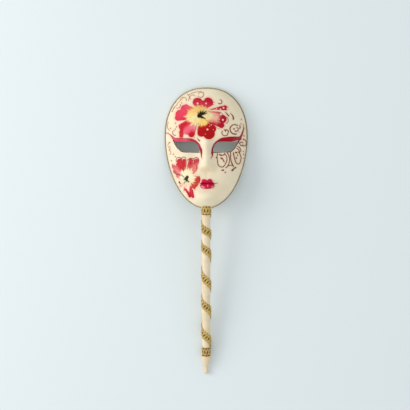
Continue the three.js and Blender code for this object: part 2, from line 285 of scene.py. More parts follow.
def face_points(p, q, carving=True):
    """Lays a square of -1 to 1 over the face without a pole, its rings packed towards the edge."""
    across = p * np.sqrt(1 - q * q / 2)
    up = q * np.sqrt(1 - p * p / 2)
    ring = np.minimum(1, np.hypot(across, up))
    reach = np.minimum(1, (1 + RING_PACKING) * ring - RING_PACKING * ring**PACKING_POWER)
    x, v = outline(np.arctan2(up, across))
    x, v = x * reach, v * reach
    dome = DOME * np.sqrt(1 - reach**DOME_FLATNESS)
    relief = broad_relief(x, v) + (lip_relief(x, v) if carving else 0)
    z = edge_height(v) + dome + smooth_step(1, RELIEF_ENDS, reach) * relief
    return np.stack([x, v, z], -1)


def face_normals(p, q, carving=True):
    """Directions straight off the face, from the places just beside each place."""
    right, left = np.minimum(p + NORMAL_STEP, 1), np.maximum(p - NORMAL_STEP, -1)
    above, below = np.minimum(q + NORMAL_STEP, 1), np.maximum(q - NORMAL_STEP, -1)
    side = face_points(right, q, carving) - face_points(left, q, carving)
    rise = face_points(p, above, carving) - face_points(p, below, carving)
    return unit(np.cross(side, rise))


print("nose tip", face_points(np.array([0.0]), np.array([-0.44]))[0].round(1))

# %% [markdown]
# The shell
#
# A paper mask is pressed into a mould, so its wall follows the face on both sides, and the fine
# carving shows on the outside only. Two grids are laid over the face: a fine one for the outside,
# and a coarser one, set inwards by the wall, for the hollow side. A bridge between their edges
# closes the shell. The eyes are then cut right through with a Boolean, as a knife cuts them in
# the dry paper.


# %% The two skins
ON_RIM = 0.9999


def skin(name, columns, rows, inset, carving):
    """A grid shaped into one side of the wall. Its rim stays level, so the edge is flat."""
    thing = added(name, bpy.ops.mesh.primitive_grid_add, x_subdivisions=columns,
                  y_subdivisions=rows, size=2)
    p, q = places(thing.data)[:, :2].T
    points = face_points(p, q, carving)
    normals = face_normals(p, q, carving)
    rim = (np.abs(p) > ON_RIM) | (np.abs(q) > ON_RIM)
    normals[rim, 2] = 0
    level = edge_height(points[rim, 1])
    points -= inset * unit(normals)
    points[rim, 2] = level
    points[:, 1] += FACE_Y
    set_places(thing.data, points * MM)
    return thing


# %% The wall between them
def wall(name, face_grid, hollow_grid, grow=0):
    """The closed wall. Grown, it is the room that a neighbour leaves for it."""
    outside = skin(name, *face_grid, -grow, carving=True)
    inside = skin(name + "_hollow", *hollow_grid, WALL + grow, carving=False)
    for side, slot in ((outside, "face"), (inside, "hollow")):
        side.data.materials.append(bpy.data.materials.get(slot) or bpy.data.materials.new(slot))
    with edit_mode(inside):
        bpy.ops.mesh.flip_normals()
    outside.select_set(True)
    bpy.context.view_layer.objects.active = outside
    bpy.ops.object.join()
    with edit_mode(outside):
        bpy.ops.mesh.select_mode(type="EDGE")
        bpy.ops.mesh.select_all(action="DESELECT")
        bpy.ops.mesh.select_non_manifold()
        bpy.ops.mesh.bridge_edge_loops()
    return told(outside)


FACE_GRID = (210, 270)
HOLLOW_GRID = (110, 140)
shell = wall("mask_face", FACE_GRID, HOLLOW_GRID)

# %% The eyes
EYE_INNER = (12.4, -31.6)
EYE_CURVES = [
    [(24, -31.2), (36, -32), (43.5, -30)],
    [(51, -28), (56.5, -19.5), (61, -9)],
    [(52, -11.4), (42, -10.8), (31, -10.8)],
    [(18, -10.8), (13.4, -18), EYE_INNER],
]
EYE_STEPS = 30
KNIFE_DEPTH = 100


def eye_outline(side):
    """One eye opening seen from the front, as points run through its four curves."""
    points, start = [], np.array(EYE_INNER, dtype=float)
    for handles in EYE_CURVES:
        one, two, end = (np.array(corner, dtype=float) for corner in handles)
        for t in np.arange(EYE_STEPS) / EYE_STEPS:
            s = 1 - t
            points.append(s**3 * start + 3 * s * s * t * one + 3 * s * t * t * two + t**3 * end)
        start = end
    return np.array(points) * (side, 1)


def eye_cutter(side):
    """A circle reshaped to the opening and pulled up into a knife as deep as the face."""
    points = eye_outline(side)
    knife = added("eye_knife", bpy.ops.mesh.primitive_circle_add, vertices=len(points), radius=1,
                  fill_type="NGON")
    flat = np.column_stack([points[:, 0], points[:, 1] + FACE_Y, np.zeros(len(points))])
    set_places(knife.data, flat * MM)
    with edit_mode(knife):
        bpy.ops.mesh.extrude_region_move(
            TRANSFORM_OT_translate={"value": (0, 0, KNIFE_DEPTH * MM)})
    faces_out(knife)
    return knife


for side in (-1, 1):
    knife = eye_cutter(side)
    applied(shell, "BOOLEAN", object=knife, operation="DIFFERENCE", solver="EXACT")
    bpy.data.objects.remove(knife)
told(shell)

# %% Smooth skin, crisp edges
SHELL_CRISP_FROM = math.radians(40)

only(shell)
bpy.ops.object.shade_smooth_by_angle(angle=SHELL_CRISP_FROM)
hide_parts("mask_shell")
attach(shell, "root")

# %% [markdown]
# The edge cord
#
# A thin twisted cord of gold thread is glued round the outside of the edge and ends at the stick.
# A cord is strands wound round each other, so it is modelled as three round tubes on three
# helices. A tube follows a list of points, which no operator does without a curve object, so one
# helper lays rings of points round a path and joins them with faces. It also notes where each
# point lies round and along the tube, so that the thread's winding can follow the cord later.


# %% Directions along a path
def lengths(path):
    """How far along a path each of its points lies."""
    return np.append(0, np.cumsum(np.linalg.norm(np.diff(path, axis=0), axis=1)))


def frames(path, outward, closed):
    """Two directions across the path at each point: outwards, and square to that."""
    if closed:
        along = unit(np.roll(path, -1, axis=0) - np.roll(path, 1, axis=0))
    else:
        along = unit(np.gradient(path, axis=0))
    outward = unit(outward - along * np.sum(along * outward, axis=1, keepdims=True))
    return outward, np.cross(along, outward)


# %% Tubes along a path
CORD_SIDES = 8


def cords(name, strands, radius, closed=False):
    """One mesh of round tubes. A strand is its points and the direction outwards at each."""
    points, faces, thread, start = [], [], [], 0
    side = np.arange(CORD_SIDES)
    next_side = (side + 1) % CORD_SIDES
    turn = 2 * np.pi * side / CORD_SIDES
    circle = np.column_stack([np.cos(turn), np.sin(turn)])
    for path, outward in strands:
        across, up = frames(path, outward, closed)
        rings = len(path)
        ring = circle[:, :1] * across[:, None] + circle[:, 1:] * up[:, None]
        points.append((path[:, None] + radius * ring).reshape(-1, 3))
        thread.append(np.column_stack(
            [np.tile(circle, (rings, 1)), np.repeat(lengths(path), CORD_SIDES)]))
        span = np.arange(rings if closed else rings - 1)[:, None]
        here = start + CORD_SIDES * span
        ahead = start + CORD_SIDES * ((span + 1) % rings)
        quads = np.stack([here + side, here + next_side, ahead + next_side, ahead + side], -1)
        faces += quads.reshape(-1, 4).tolist()
        end = start + CORD_SIDES * rings
        if not closed:
            faces.append(list(range(start + CORD_SIDES - 1, start - 1, -1)))
            faces.append(list(range(end - CORD_SIDES, end)))
        start = end
    mesh = bpy.data.meshes.new(name)
    mesh.from_pydata((np.concatenate(points) * MM).tolist(), [], faces)
    noted = mesh.attributes.new("thread", "FLOAT_VECTOR", "POINT")
    noted.data.foreach_set("vector", np.concatenate(thread).ravel())
    mesh.polygons.foreach_set("use_smooth", [len(face) == 4 for face in faces])
    thing = bpy.data.objects.new(name, mesh)
    bpy.context.scene.collection.objects.link(thing)
    return only(thing)


# %% The path round the edge
GAP = 0.3
GLUE = 0.1
STICK_RADIUS = 8
BRAID_THICK = 1.5
CORD_RADIUS = 1.0
CORD_TURN = 13
CORD_RINGS = 900
EDGE_SAMPLES = 4000


def edge_path(count):
    """Points round the edge from one side of the stick to the other, evenly spaced."""
    opening = (STICK_RADIUS + BRAID_THICK + 3 * GAP) / HALF_WIDTH
    angle = np.linspace(-np.pi / 2 + opening, 1.5 * np.pi - opening, EDGE_SAMPLES)
    x, v = outline(angle)
    path = np.column_stack([x, v, edge_height(v)])
    length = lengths(path)
    even = np.linspace(0, length[-1], count)
    return np.column_stack([np.interp(even, length, column) for column in path.T]), length[-1]


path, cord_length = edge_path(CORD_RINGS)
along = np.gradient(path, axis=0)
outward = unit(np.column_stack([along[:, 1], -along[:, 0], np.zeros(len(path))]))
path = path + outward * (CORD_RADIUS + GLUE) + (0, FACE_Y, CORD_RADIUS + GAP)
print("the cord is", round(cord_length), "mm long")

# %% Three strands
STRAND_RADIUS = CORD_RADIUS / (1 + 2 / math.sqrt(3))
across, up = frames(path, outward, closed=False)
wind = 2 * np.pi * np.linspace(0, cord_length, len(path)) / CORD_TURN
strands = []
for third in range(3):
    angle = (wind + 2 * np.pi * third / 3)[:, None]
    away = np.cos(angle) * across + np.sin(angle) * up
    strands.append((path + (CORD_RADIUS - STRAND_RADIUS) * away, away))
cord = told(cords("edge_twist", strands, STRAND_RADIUS))
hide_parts("edge_cord")
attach(cord, "root")

# %% [markdown]
# The stick
#
# A stick is turned on a lathe: a long cylinder with a ball, a thin neck and a flared shoulder at
# its foot. Here a circle is pulled out ring by ring and each ring is scaled to the turned radius,
# which is how a lathe's profile reads. The stick is made along its own axis first, then sloped
# from the chin's raised edge down to the table. Its top has a saw cut for the chin's edge, taken
# out with a Boolean against a slightly thicker copy of the wall.

# %% The turned profile
CHIN_Y = FACE_Y - CHIN_DROP + WALL / 2
KNOB_RADIUS = 4.5
KNOB_Y = -269.8
KNOB_Z = KNOB_RADIUS - REST_FLAT
STICK_SLOPE = math.atan2(CHIN_LIFT - KNOB_Z, CHIN_Y - KNOB_Y)
STICK_TO_CHIN = KNOB_RADIUS + math.hypot(CHIN_LIFT - KNOB_Z, CHIN_Y - KNOB_Y)
STICK_PAST_CHIN = 8.6
STICK_LENGTH = STICK_TO_CHIN + STICK_PAST_CHIN
STICK_FOOT_RADIUS = 7.2
STICK_SIDES = 64
COLLAR_WIDTH = 17.3
BOTTOM_COLLAR_START = 35.8
BOTTOM_COLLAR_END = BOTTOM_COLLAR_START + COLLAR_WIDTH
COLLAR_PAST_CHIN = 4.1
TOP_COLLAR_END = STICK_TO_CHIN + COLLAR_PAST_CHIN - WALL / 2


def stick_profile():
    """Radius and height of each ring, from the ball upwards."""
    ball = [(KNOB_RADIUS * math.sin(angle), KNOB_RADIUS * (1 - math.cos(angle)))
            for angle in np.radians(np.arange(8, 133, 4))]
    neck = [(3.18, 8.1), (3.1, 9), (3.15, 10.2), (3.3, 12)]
    flare = [(3.2 + 4.6 * (0.45 * t + 0.55 * t * t * (3 - 2 * t)), 12.4 + 14.4 * t)
             for t in np.arange(1, 12) / 12]
    shoulder = [(7.65, 26.4), (7.8, 27.2), (7.8, 32.9), (7.7, 33.6), (STICK_FOOT_RADIUS, 34.8)]
    shaft = [(STICK_FOOT_RADIUS, BOTTOM_COLLAR_END), (STICK_RADIUS, BOTTOM_COLLAR_END + 30),
             (STICK_RADIUS, STICK_LENGTH - 24), (STICK_RADIUS, STICK_LENGTH - 16)]
    top = [(STICK_RADIUS, STICK_LENGTH - 0.8), (STICK_RADIUS - 0.8, STICK_LENGTH)]
    return ball + neck + flare + shoulder + shaft + top


profile = stick_profile()
print(len(profile), "rings over", round(STICK_LENGTH, 1), "mm")

# %% Pulling the rings
radius, height = profile[0]
stick = added("turned_stick", bpy.ops.mesh.primitive_circle_add, vertices=STICK_SIDES,
              radius=radius * MM, fill_type="NGON", location=(0, 0, height * MM))
bpy.ops.object.transform_apply(location=True)
with edit_mode(stick):
    for next_radius, next_height in profile[1:]:
        pull = (0, 0, (next_height - height) * MM)
        growth = next_radius / radius
        bpy.ops.mesh.extrude_region_move(TRANSFORM_OT_translate={"value": pull})
        bpy.ops.transform.resize(
            value=(growth, growth, 1), center_override=(0, 0, next_height * MM))
        radius, height = next_radius, next_height
faces_out(stick)
told(stick)

# %% Laying it on its slope
AXIS_UP_TO_Y = Matrix.Rotation(-math.pi / 2, 4, "X") @ Matrix.Rotation(math.pi, 4, "Z")
END_Y = KNOB_Y - KNOB_RADIUS * math.cos(STICK_SLOPE)
END_Z = KNOB_Z - KNOB_RADIUS * math.sin(STICK_SLOPE)
STICK_PLACE = (Matrix.Translation((0, END_Y * MM, END_Z * MM))
               @ Matrix.Rotation(STICK_SLOPE, 4, "X"))
stick.data.transform(STICK_PLACE @ AXIS_UP_TO_Y)
told(stick)

# %% The flat under the ball
with edit_mode(stick):
    bpy.ops.mesh.bisect(plane_co=(0, 0, 0), plane_no=(0, 0, 1), use_fill=True, clear_inner=True,
                        threshold=1e-7)
print("lowest point", round(places(stick.data)[:, 2].min() / MM, 3), "mm")

# %% The saw cut
COARSE_GRID = (60, 80)
STICK_CRISP_FROM = math.radians(35)

room = wall("chin_room", COARSE_GRID, COARSE_GRID, GAP)
applied(stick, "BOOLEAN", object=room, operation="DIFFERENCE", solver="EXACT")
bpy.data.objects.remove(room)
only(stick)
bpy.ops.object.shade_smooth_by_angle(angle=STICK_CRISP_FROM)
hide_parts("stick")
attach(stick, "root")
told(stick)

# %% [markdown]
# The gimp braid
#
# Gimp is a flat plait of thick gold cords: two bundles of parallel cords swing from edge to edge
# and cross over and under each other, with a dark eye left open between every two crossings. So
# each cord is a tube on a swinging path over a thin dark band, whose dark colour is painted shade
# for the eyes. The strip's centre line runs down the stick in a spiral whose crossings of the front
# are measured, and a place on the strip is given by its length along it, its distance across it
# and its height over the stick.

# %% The spiral's course
BRAID_CROSSINGS = np.array([325, 278, 241.5, 183.5, 132.5, 74.5, 20])
BRAID_SWAY = 2.5
SPIRAL_SAMPLES = 3000
WRAP = 2 * math.pi * (STICK_RADIUS + GAP)


def braid_height(turns):
    """Height of the centre line after a number of turns: a smooth curve through the crossings, with
    the sway that lays the strip flatter across the front."""
    crossings = BRAID_CROSSINGS
    knots = np.concatenate([[2 * crossings[0] - crossings[1]], crossings,
                            [2 * crossings[-1] - crossings[-2]]])
    knot = np.clip(np.floor(turns), 0, len(crossings) - 2).astype(int)
    t = turns - knot
    a, b, c, d = (knots[knot + shift] for shift in range(4))
    even = b + 0.5 * t * (c - a + t * (2 * a - 5 * b + 4 * c - d + t * (3 * (b - c) + d - a)))
    return even + BRAID_SWAY * np.sin(2 * np.pi * turns)


turn_steps = np.linspace(0, len(BRAID_CROSSINGS) - 1, SPIRAL_SAMPLES)
climb = np.gradient(braid_height(turn_steps), turn_steps)
stretch = np.hypot(WRAP, climb)
braid_run = np.append(0, np.cumsum((stretch[1:] + stretch[:-1]) / 2 * np.diff(turn_steps)))
print("the spiral strip is", round(braid_run[-1]), "mm long")


# %% From strip to stick
def round_stick(angle, height, radius):
    """Points in the stick's own frame, and the direction off the stick at each."""
    away = np.stack([np.sin(angle), np.zeros_like(angle), np.cos(angle)], -1)
    middle = np.stack([0 * height, height, 0 * height], -1)
    return away * np.reshape(radius, (-1, 1)) + middle, away


def on_spiral(run, across, radius):
    """Places on the spiral strip, by the length along it and the distance across it."""
    turns = np.interp(run, braid_run, turn_steps)
    slope = np.interp(run, braid_run, climb)
    length = np.hypot(WRAP, slope)
    angle = 2 * np.pi * (turns - slope / length * across / WRAP)
    return round_stick(angle, braid_height(turns) + WRAP / length * across, radius)


def on_collar(middle):
    """The same for a level collar, whose strip runs once round the stick."""
    def place(run, across, radius):
        return round_stick(2 * np.pi * run, middle + across, radius)
    return place


# %% Plaiting
CORDS_IN_BUNDLE = 3
CORD_PITCH = 1.9
SLANT = 0.8
SQUEEZE = 0.85
EYE_SPACING = 5.5
STEPS_BETWEEN_EYES = 12
GIMP_RADIUS = 0.55


def plait(place, run, crossings, base, cord_radius, swing, lift):
    """Strands of a plait. Run and crossings say, step by step, how far the strip has come."""
    strands = []
    unit_run = (run[-1] - run[0]) / (crossings[-1] - crossings[0]) / EYE_SPACING
    for bundle in (0, np.pi):
        swung = np.pi * crossings + bundle
        for index in range(CORDS_IN_BUNDLE):
            offset = (index - (CORDS_IN_BUNDLE - 1) / 2) * (CORD_PITCH * cord_radius)
            along = run - SLANT * offset * np.cos(swung) * unit_run
            across = swing * np.sin(swung) + SQUEEZE * offset
            strands.append(place(along, across, base + lift * np.cos(swung)))
    return strands


def edge_loops(place, run, distance, radius):
    """A straight cord along each edge of the strip."""
    return [place(run, side * distance + 0 * run, radius + 0 * run) for side in (-1, 1)]


# %% The dark band under the plait
SHADE_BAND_THICK = 0.3
SHADE_BAND_COLUMNS = 6


def band(name, place, run, half_width, radius, closed=False):
    """A grid bent along the strip, given its thickness by Solidify."""
    spans = len(run) - 1
    thing = added(name, bpy.ops.mesh.primitive_grid_add, x_subdivisions=spans,
                  y_subdivisions=SHADE_BAND_COLUMNS, size=2)
    flat = places(thing.data)
    index = np.rint((flat[:, 0] + 1) / 2 * spans).astype(int)
    points, _ = place(run[index], flat[:, 1] * half_width, radius + 0 * flat[:, 1])
    set_places(thing.data, points * MM)
    if closed:
        with edit_mode(thing):
            bpy.ops.mesh.remove_doubles(threshold=MERGE_WITHIN)
    applied(thing, "SOLIDIFY", thickness=SHADE_BAND_THICK * MM, offset=0)
    faces_out(thing)
    return thing


def trimmed(thing, height, keep_below):
    """Cuts the strip square across the stick and closes every cut cord."""
    with edit_mode(thing):
        bpy.ops.mesh.bisect(plane_co=(0, height * MM, 0), plane_no=(0, 1, 0), use_fill=True,
                            clear_outer=keep_below, clear_inner=not keep_below)


# %% The spiral strip
SPIRAL_LAYOUT = {"base": 9.1, "cord_radius": GIMP_RADIUS, "swing": 6.3, "lift": 0.35}
SPIRAL_SHADE_BAND_POINTS = 420

steps = int(braid_run[-1] / EYE_SPACING * STEPS_BETWEEN_EYES)
run = np.linspace(0, braid_run[-1], steps)
strands = plait(on_spiral, run, run / EYE_SPACING, **SPIRAL_LAYOUT)
spiral = cords("spiral_plait", strands, GIMP_RADIUS)
run = np.linspace(0, braid_run[-1], SPIRAL_SHADE_BAND_POINTS)
# A dark band under the plait stands in for the shade in its eyes.
spiral_shade_band = band("spiral_dark_band", on_spiral, run, half_width=6.6, radius=8.35)
low_end, high_end = BOTTOM_COLLAR_END + GAP, TOP_COLLAR_END - COLLAR_WIDTH - GAP
for piece in (spiral, spiral_shade_band):
    trimmed(piece, low_end, keep_below=False)
    trimmed(piece, high_end, keep_below=True)
    piece.data.transform(STICK_PLACE)
    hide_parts("spiral_braid")
    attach(piece, "root")
    told(piece)

# %% The two collars
EYES_ROUND = 10
COLLAR_SWING = 5.9
COLLAR_EDGE = 8.1
COLLAR_SHADE_BAND = {"half_width": 8.2, "closed": True}
COLLAR_SHADE_BAND_POINTS = 65


def collar(name, node, middle, base, cord_radius, lift, shade_band_radius):
    """A level plait with a cord along each edge, over its dark band of painted shade."""
    place = on_collar(middle)
    count = EYES_ROUND * STEPS_BETWEEN_EYES
    run = np.arange(count) / count
    strands = plait(place, run, run * EYES_ROUND, base, cord_radius, COLLAR_SWING, lift)
    strands += edge_loops(place, run, COLLAR_EDGE, base)
    ring = cords(name, strands, cord_radius, closed=True)
    shade_band = band(name + "_dark_band", place, np.linspace(0, 1, COLLAR_SHADE_BAND_POINTS),
                radius=shade_band_radius, **COLLAR_SHADE_BAND)
    for piece in (ring, shade_band):
        piece.data.transform(STICK_PLACE)
        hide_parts(node)
        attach(piece, "root")
        told(piece)
    return ring, shade_band


top_ring, top_shade_band = collar(
    "top_collar", "top_collar_braid", TOP_COLLAR_END - COLLAR_WIDTH / 2,
    base=9.1, cord_radius=GIMP_RADIUS, lift=0.3, shade_band_radius=8.45)
low_ring, low_shade_band = collar(
    "bottom_collar", "bottom_collar_braid", BOTTOM_COLLAR_START + COLLAR_WIDTH / 2,
    base=8.15, cord_radius=0.42, lift=0.12, shade_band_radius=7.6)

# %% [markdown]
# Mixing materials from nodes
#
# Every finish here is worked out from the place on the object, with no picture behind it. Two
# short helpers keep the node trees readable: one adds a node and feeds its sockets, with a number
# or with the output of another node, and one lays a coat of colour over what is already there.


# %% Node helpers
class Finish:
    """A material in the making: its tree, its shader, and short calls that add nodes."""

    def __init__(self, name):
        self.material = bpy.data.materials.new(name)
        self.material.use_nodes = True
        self.tree = self.material.node_tree
        self.shader = self.tree.nodes["Principled BSDF"]
        self.object_place = self.node("TexCoord", ())["Object"]

    def feed(self, socket, value):
        """Gives a socket a number, or the output of another node."""
        if isinstance(value, bpy.types.NodeSocket):
            self.tree.links.new(value, socket)
        else:
            socket.default_value = value

    def node(self, kind, fed, **settings):
        """Adds a node, sets it, and feeds its sockets: in turn, or by the keys of a dict."""
        node = self.tree.nodes.new("ShaderNode" + kind)
        for key, value in settings.items():
            setattr(node, key, value)
        for key, value in fed.items() if isinstance(fed, dict) else enumerate(fed):
            self.feed(node.inputs[key], value)
        return node.outputs

    def shade(self, name, value):
        """Feeds one of the shader's own sockets."""
        self.feed(self.shader.inputs[name], value)

    def sum(self, operation, *values):
        return self.node("Math", values, operation=operation)[0]

    def within(self, value):
        """Keeps a number between 0 and 1."""
        return self.sum("MINIMUM", self.sum("MAXIMUM", value, 0), 1)

    def vector(self, operation, *values):
        fed = {0: values[0], "Scale": values[1]} if operation == "SCALE" else values
        number = operation in ("LENGTH", "DISTANCE", "DOT_PRODUCT")
        return self.node("VectorMath", fed, operation=operation)["Value" if number else "Vector"]

    def split(self, vector):
        return self.node("SeparateXYZ", (vector,))

    def joined(self, x, y, z=0.0):
        return self.node("CombineXYZ", (x, y, z))[0]

    def ramp(self, value, start, end, low=0.0, high=1.0):
        """Goes smoothly from low to high while the value goes from start to end."""
        return self.node("MapRange", (value, start, end, low, high),
                         interpolation_type="SMOOTHSTEP", clamp=False)["Result"]

    def noise(self, place, scale, detail=2.0, colour=False, roughness=0.5):
        fed = {"Vector": place, "Scale": scale, "Detail": detail, "Roughness": roughness}
        return self.node("TexNoise", fed)["Color" if colour else "Fac"]

    def coat(self, under, over, cover):
        """Lays one colour over another as far as cover says."""
        return self.node("Mix", {0: cover, 6: under, 7: over}, data_type="RGBA")[2]

    def brushed(self, under, distance, colour, edge, full, cover=1.0):
        """Paints strokes: the colour begins at one distance from them and is full at another."""
        return self.coat(under, ink(*colour), self.ramp(distance, edge, full, 0, cover))

    def colours(self, value, stops):
        """A colour ramp: pairs of a place from 0 to 1 and a colour."""
        colour = self.node("ValToRGB", (value,))[0]
        elements = colour.node.color_ramp.elements
        elements[0].position, elements[0].color = stops[0]
        elements[1].position, elements[1].color = stops[-1]
        for position, between in stops[1:-1]:
            elements.new(position).color = between
        return colour

    def bump(self, height, distance):
        self.shade("Normal", self.node("Bump", {"Distance": distance, "Height": height})[0])

# %% Ink as it looks
SHINE = 0.014


def ink(red, green, blue):
    """A colour as it looks, 0 to 255, turned into the amounts of light that the shader wants. The
    shine lays a little white over every colour, so each is mixed that much deeper."""
    shares = [amount / 255 for amount in (red, green, blue)]
    light = [c / 12.92 if c < 0.0405 else ((c + 0.055) / 1.055) ** 2.4 for c in shares]
    return (*(max(0.0, amount - SHINE) for amount in light), 1)


print("ivory", [round(c, 2) for c in ink(244, 229, 200)])

# %% [markdown]
# A brush stroke as a sum
#
# The flowers, curls, lids and lips were put on with a round brush, so the material is built from
# strokes too. For each stroke a small node group works out how far a place is from the stroke's
# edge, less than zero inside it. One group does straight strokes that swell or taper, the other
# does curls: arcs whose radius may grow. The least of many distances is the distance to the whole
# drawing, which stays sharp at any size.


# %% Straight strokes
class StrokeGroup(Finish):
    """The same short calls inside a new node group, which gives out a distance."""

    def __init__(self, name, vectors, numbers):
        self.tree = bpy.data.node_groups.new(name, "ShaderNodeTree")
        for labels, kind in ((vectors, "Vector"), (numbers, "Float")):
            for label in labels:
                self.tree.interface.new_socket(
                    label, in_out="INPUT", socket_type="NodeSocket" + kind)
        self.tree.interface.new_socket("Distance", in_out="OUTPUT", socket_type="NodeSocketFloat")
        self.given = self.tree.nodes.new("NodeGroupInput").outputs
        self.result = self.tree.nodes.new("NodeGroupOutput").inputs["Distance"]

    def half_width(self, share):
        """How far the brush reaches at a share of the stroke's length."""
        start, end = self.given["Start"], self.given["End"]
        return self.sum("MULTIPLY_ADD", self.sum("SUBTRACT", end, start), share, start)


dash = StrokeGroup("straight_stroke", ("Place", "From", "To"), ("Start", "End"))
run = dash.vector("SUBTRACT", dash.given["To"], dash.given["From"])
step = dash.vector("SUBTRACT", dash.given["Place"], dash.given["From"])
along = dash.vector("DOT_PRODUCT", step, run)
share = dash.within(dash.sum("DIVIDE", along, dash.vector("DOT_PRODUCT", run, run)))
nearest = dash.vector("ADD", dash.vector("SCALE", run, share), dash.given["From"])
half_width = dash.half_width(share)
away = dash.vector("DISTANCE", dash.given["Place"], nearest)
dash.feed(dash.result, dash.sum("SUBTRACT", away, half_width))
print("straight stroke", len(dash.tree.nodes), "nodes")

# %% Curls
curl = StrokeGroup("curled_stroke", ("Place", "Centre"),
                   ("Radius", "Growth", "From", "Sweep", "Start", "End"))
out = curl.vector("SUBTRACT", curl.given["Place"], curl.given["Centre"])
across = curl.vector("DOT_PRODUCT", out, (1, 0, 0))
upwards = curl.vector("DOT_PRODUCT", out, (0, 1, 0))
turned = curl.sum("SUBTRACT", curl.sum("ARCTAN2", upwards, across), curl.given["From"])
sweep = curl.given["Sweep"]
middle = curl.sum("MULTIPLY", sweep, 0.5)
turned = curl.sum("WRAP", turned, curl.sum("ADD", middle, math.pi),
                  curl.sum("SUBTRACT", middle, math.pi))
share = curl.within(curl.sum("DIVIDE", turned, sweep))
angle = curl.sum("MULTIPLY_ADD", sweep, share, curl.given["From"])
radius = curl.sum("MULTIPLY_ADD", curl.given["Growth"], share, curl.given["Radius"])
nearest = curl.joined(curl.sum("MULTIPLY", curl.sum("COSINE", angle), radius),
                      curl.sum("MULTIPLY", curl.sum("SINE", angle), radius))
half_width = curl.half_width(share)
curl.feed(curl.result, curl.sum("SUBTRACT", curl.vector("DISTANCE", out, nearest), half_width))
print("curled stroke", len(curl.tree.nodes), "nodes")


# %% Many strokes, one distance
FAR = 1000


def drawn(finish, place, dashes=(), curls=(), dots=()):
    """The distance to a whole set of strokes, in millimetres. A dash is its two ends and the half
    widths there. A curl is its centre, radius, first angle and sweep in degrees, its two half
    widths, and how much its radius grows, if it does. A dot is its centre and radius."""
    strokes = [(dash, {"From": (x0, y0, 0), "To": (x1, y1, 0), "Start": start, "End": end})
               for x0, y0, x1, y1, start, end in dashes]
    strokes += [(curl, {"Centre": (x, y, 0), "Radius": radius, "Growth": sum(growth),
                        "From": math.radians(begin), "Sweep": math.radians(sweep),
                        "Start": start, "End": end})
                for x, y, radius, begin, sweep, start, end, *growth in curls]
    nearest = FAR
    for kind, shape in strokes:
        away = finish.node("Group", {"Place": place, **shape}, node_tree=kind.tree)[0]
        nearest = finish.sum("MINIMUM", nearest, away)
    for x, y, radius in dots:
        away = finish.vector("DISTANCE", place, (x, y, 0))
        nearest = finish.sum("MINIMUM", nearest, finish.sum("SUBTRACT", away, radius))
    return nearest


# %% [markdown]
# The face's enamel and paint
#
# Under the paint is warm ivory enamel, brushed on and a little uneven. The painter then worked
# from the faint to the strong: thin brown curls at the temple, burgundy scrolls, two big flowers
# whose petals run from a cream heart to crimson, dark centres, crimson lids and lips, and last
# the pale dots. Each layer below is a list of strokes in millimetres on the face. The strokes are
# generic flower and scroll forms set in the areas that the painting fills.

# %% Ivory
face = Finish("painted_ivory")
on_face = face.node("Mapping", {
    "Vector": face.object_place, "Scale": (1 / MM, 1 / MM, 0), "Location": (0, -FACE_Y, 0)})[0]
cloud = face.noise(face.object_place, scale=28, detail=3)
paint = face.coat(ink(244, 229, 200), ink(236, 219, 185), face.ramp(cloud, 0.3, 0.7))
streak_place = face.vector("MULTIPLY", face.object_place, (900, 160, 160))
brush_marks = face.noise(streak_place, scale=1, detail=2)
paint = face.coat(paint, ink(250, 235, 209), face.ramp(brush_marks, 0.55, 0.85, 0, 0.22))
print("enamel", len(face.tree.nodes), "nodes")


# %% A hand's wobble
def shaken(place, scale, detail, reach):
    """A place moved a little by noise, as an unsteady brush moves it."""
    shake = face.noise(on_face, scale, detail, colour=True)
    shake = face.vector("SUBTRACT", shake, (0.5, 0.5, 0.5))
    return face.vector("ADD", place, face.vector("MULTIPLY", shake, (reach, reach, 0)))


steady = shaken(on_face, 0.16, 1, reach=1.4)
loaded = shaken(steady, 0.55, 2, reach=2.2)
print("with the wobble", len(face.tree.nodes), "nodes")


# %% Strokes laid on in coats
def painted(under, hand, coats, dashes=(), curls=(), dots=()):
    """Paints strokes over what is there. A coat is its colour, how far from the strokes it begins,
    how far it is full, and how well it covers."""
    distance = drawn(face, hand, dashes, curls, dots)
    for coat in coats:
        under = face.brushed(under, distance, *coat)
    print(len(dashes), "dashes,", len(curls), "curls,", len(dots), "dots")
    return under


# %% Faint curls at the temple
FINE_CURLS = [
    (-41.8, 72.9, 9.7, 52, -85, 0.49, 0.49), (-25.6, 73.2, 5.2, -140, -180, 0.49, 0.49),
    (-10, 78.5, 5.1, 163, -278, 0.49, 0.68), (-43.7, 68.2, 6.2, 134, -142, 0.49, 0.49),
    (-54.2, 58.3, 5.1, -129, 149, 0.49, 0.78), (17.4, 1, 94.7, 150, -20, 0.49, 0.39),
    (-11.9, 47.1, 37.9, 124, -39, 0.49, 0.39), (-51.2, 47.4, 12.8, -180, -74, 0.49, 0.49),
    (-62.6, 20.4, 11.6, 146, 87, 0.49, 0.49), (-65, -17.1, 7.4, 128, 121, 0.49, 0.49),
    (-75.2, 20.8, 14.5, -79, -38, 0.49, 0.49), (-58.8, 6.1, 4.9, 102, 178, 0.49, 0.88),
    (-71.1, -31, 4.1, 79, -140, 0.49, 0.49),
]
FINE_DOTS = [
    (-15, 75.4, 0.94), (-5, 83.2, 0.75), (-49, 70.6, 0.94), (-46.4, 63, 1.03), (-57.7, 65.1, 0.75),
    (-65.7, 48, 0.84),
]
FINE_COATS = [((236, 186, 166), 3.2, 0.2, 0.35), ((146, 88, 58), 0.25, -0.1, 0.85)]
paint = painted(paint, steady, FINE_COATS, curls=FINE_CURLS, dots=FINE_DOTS)

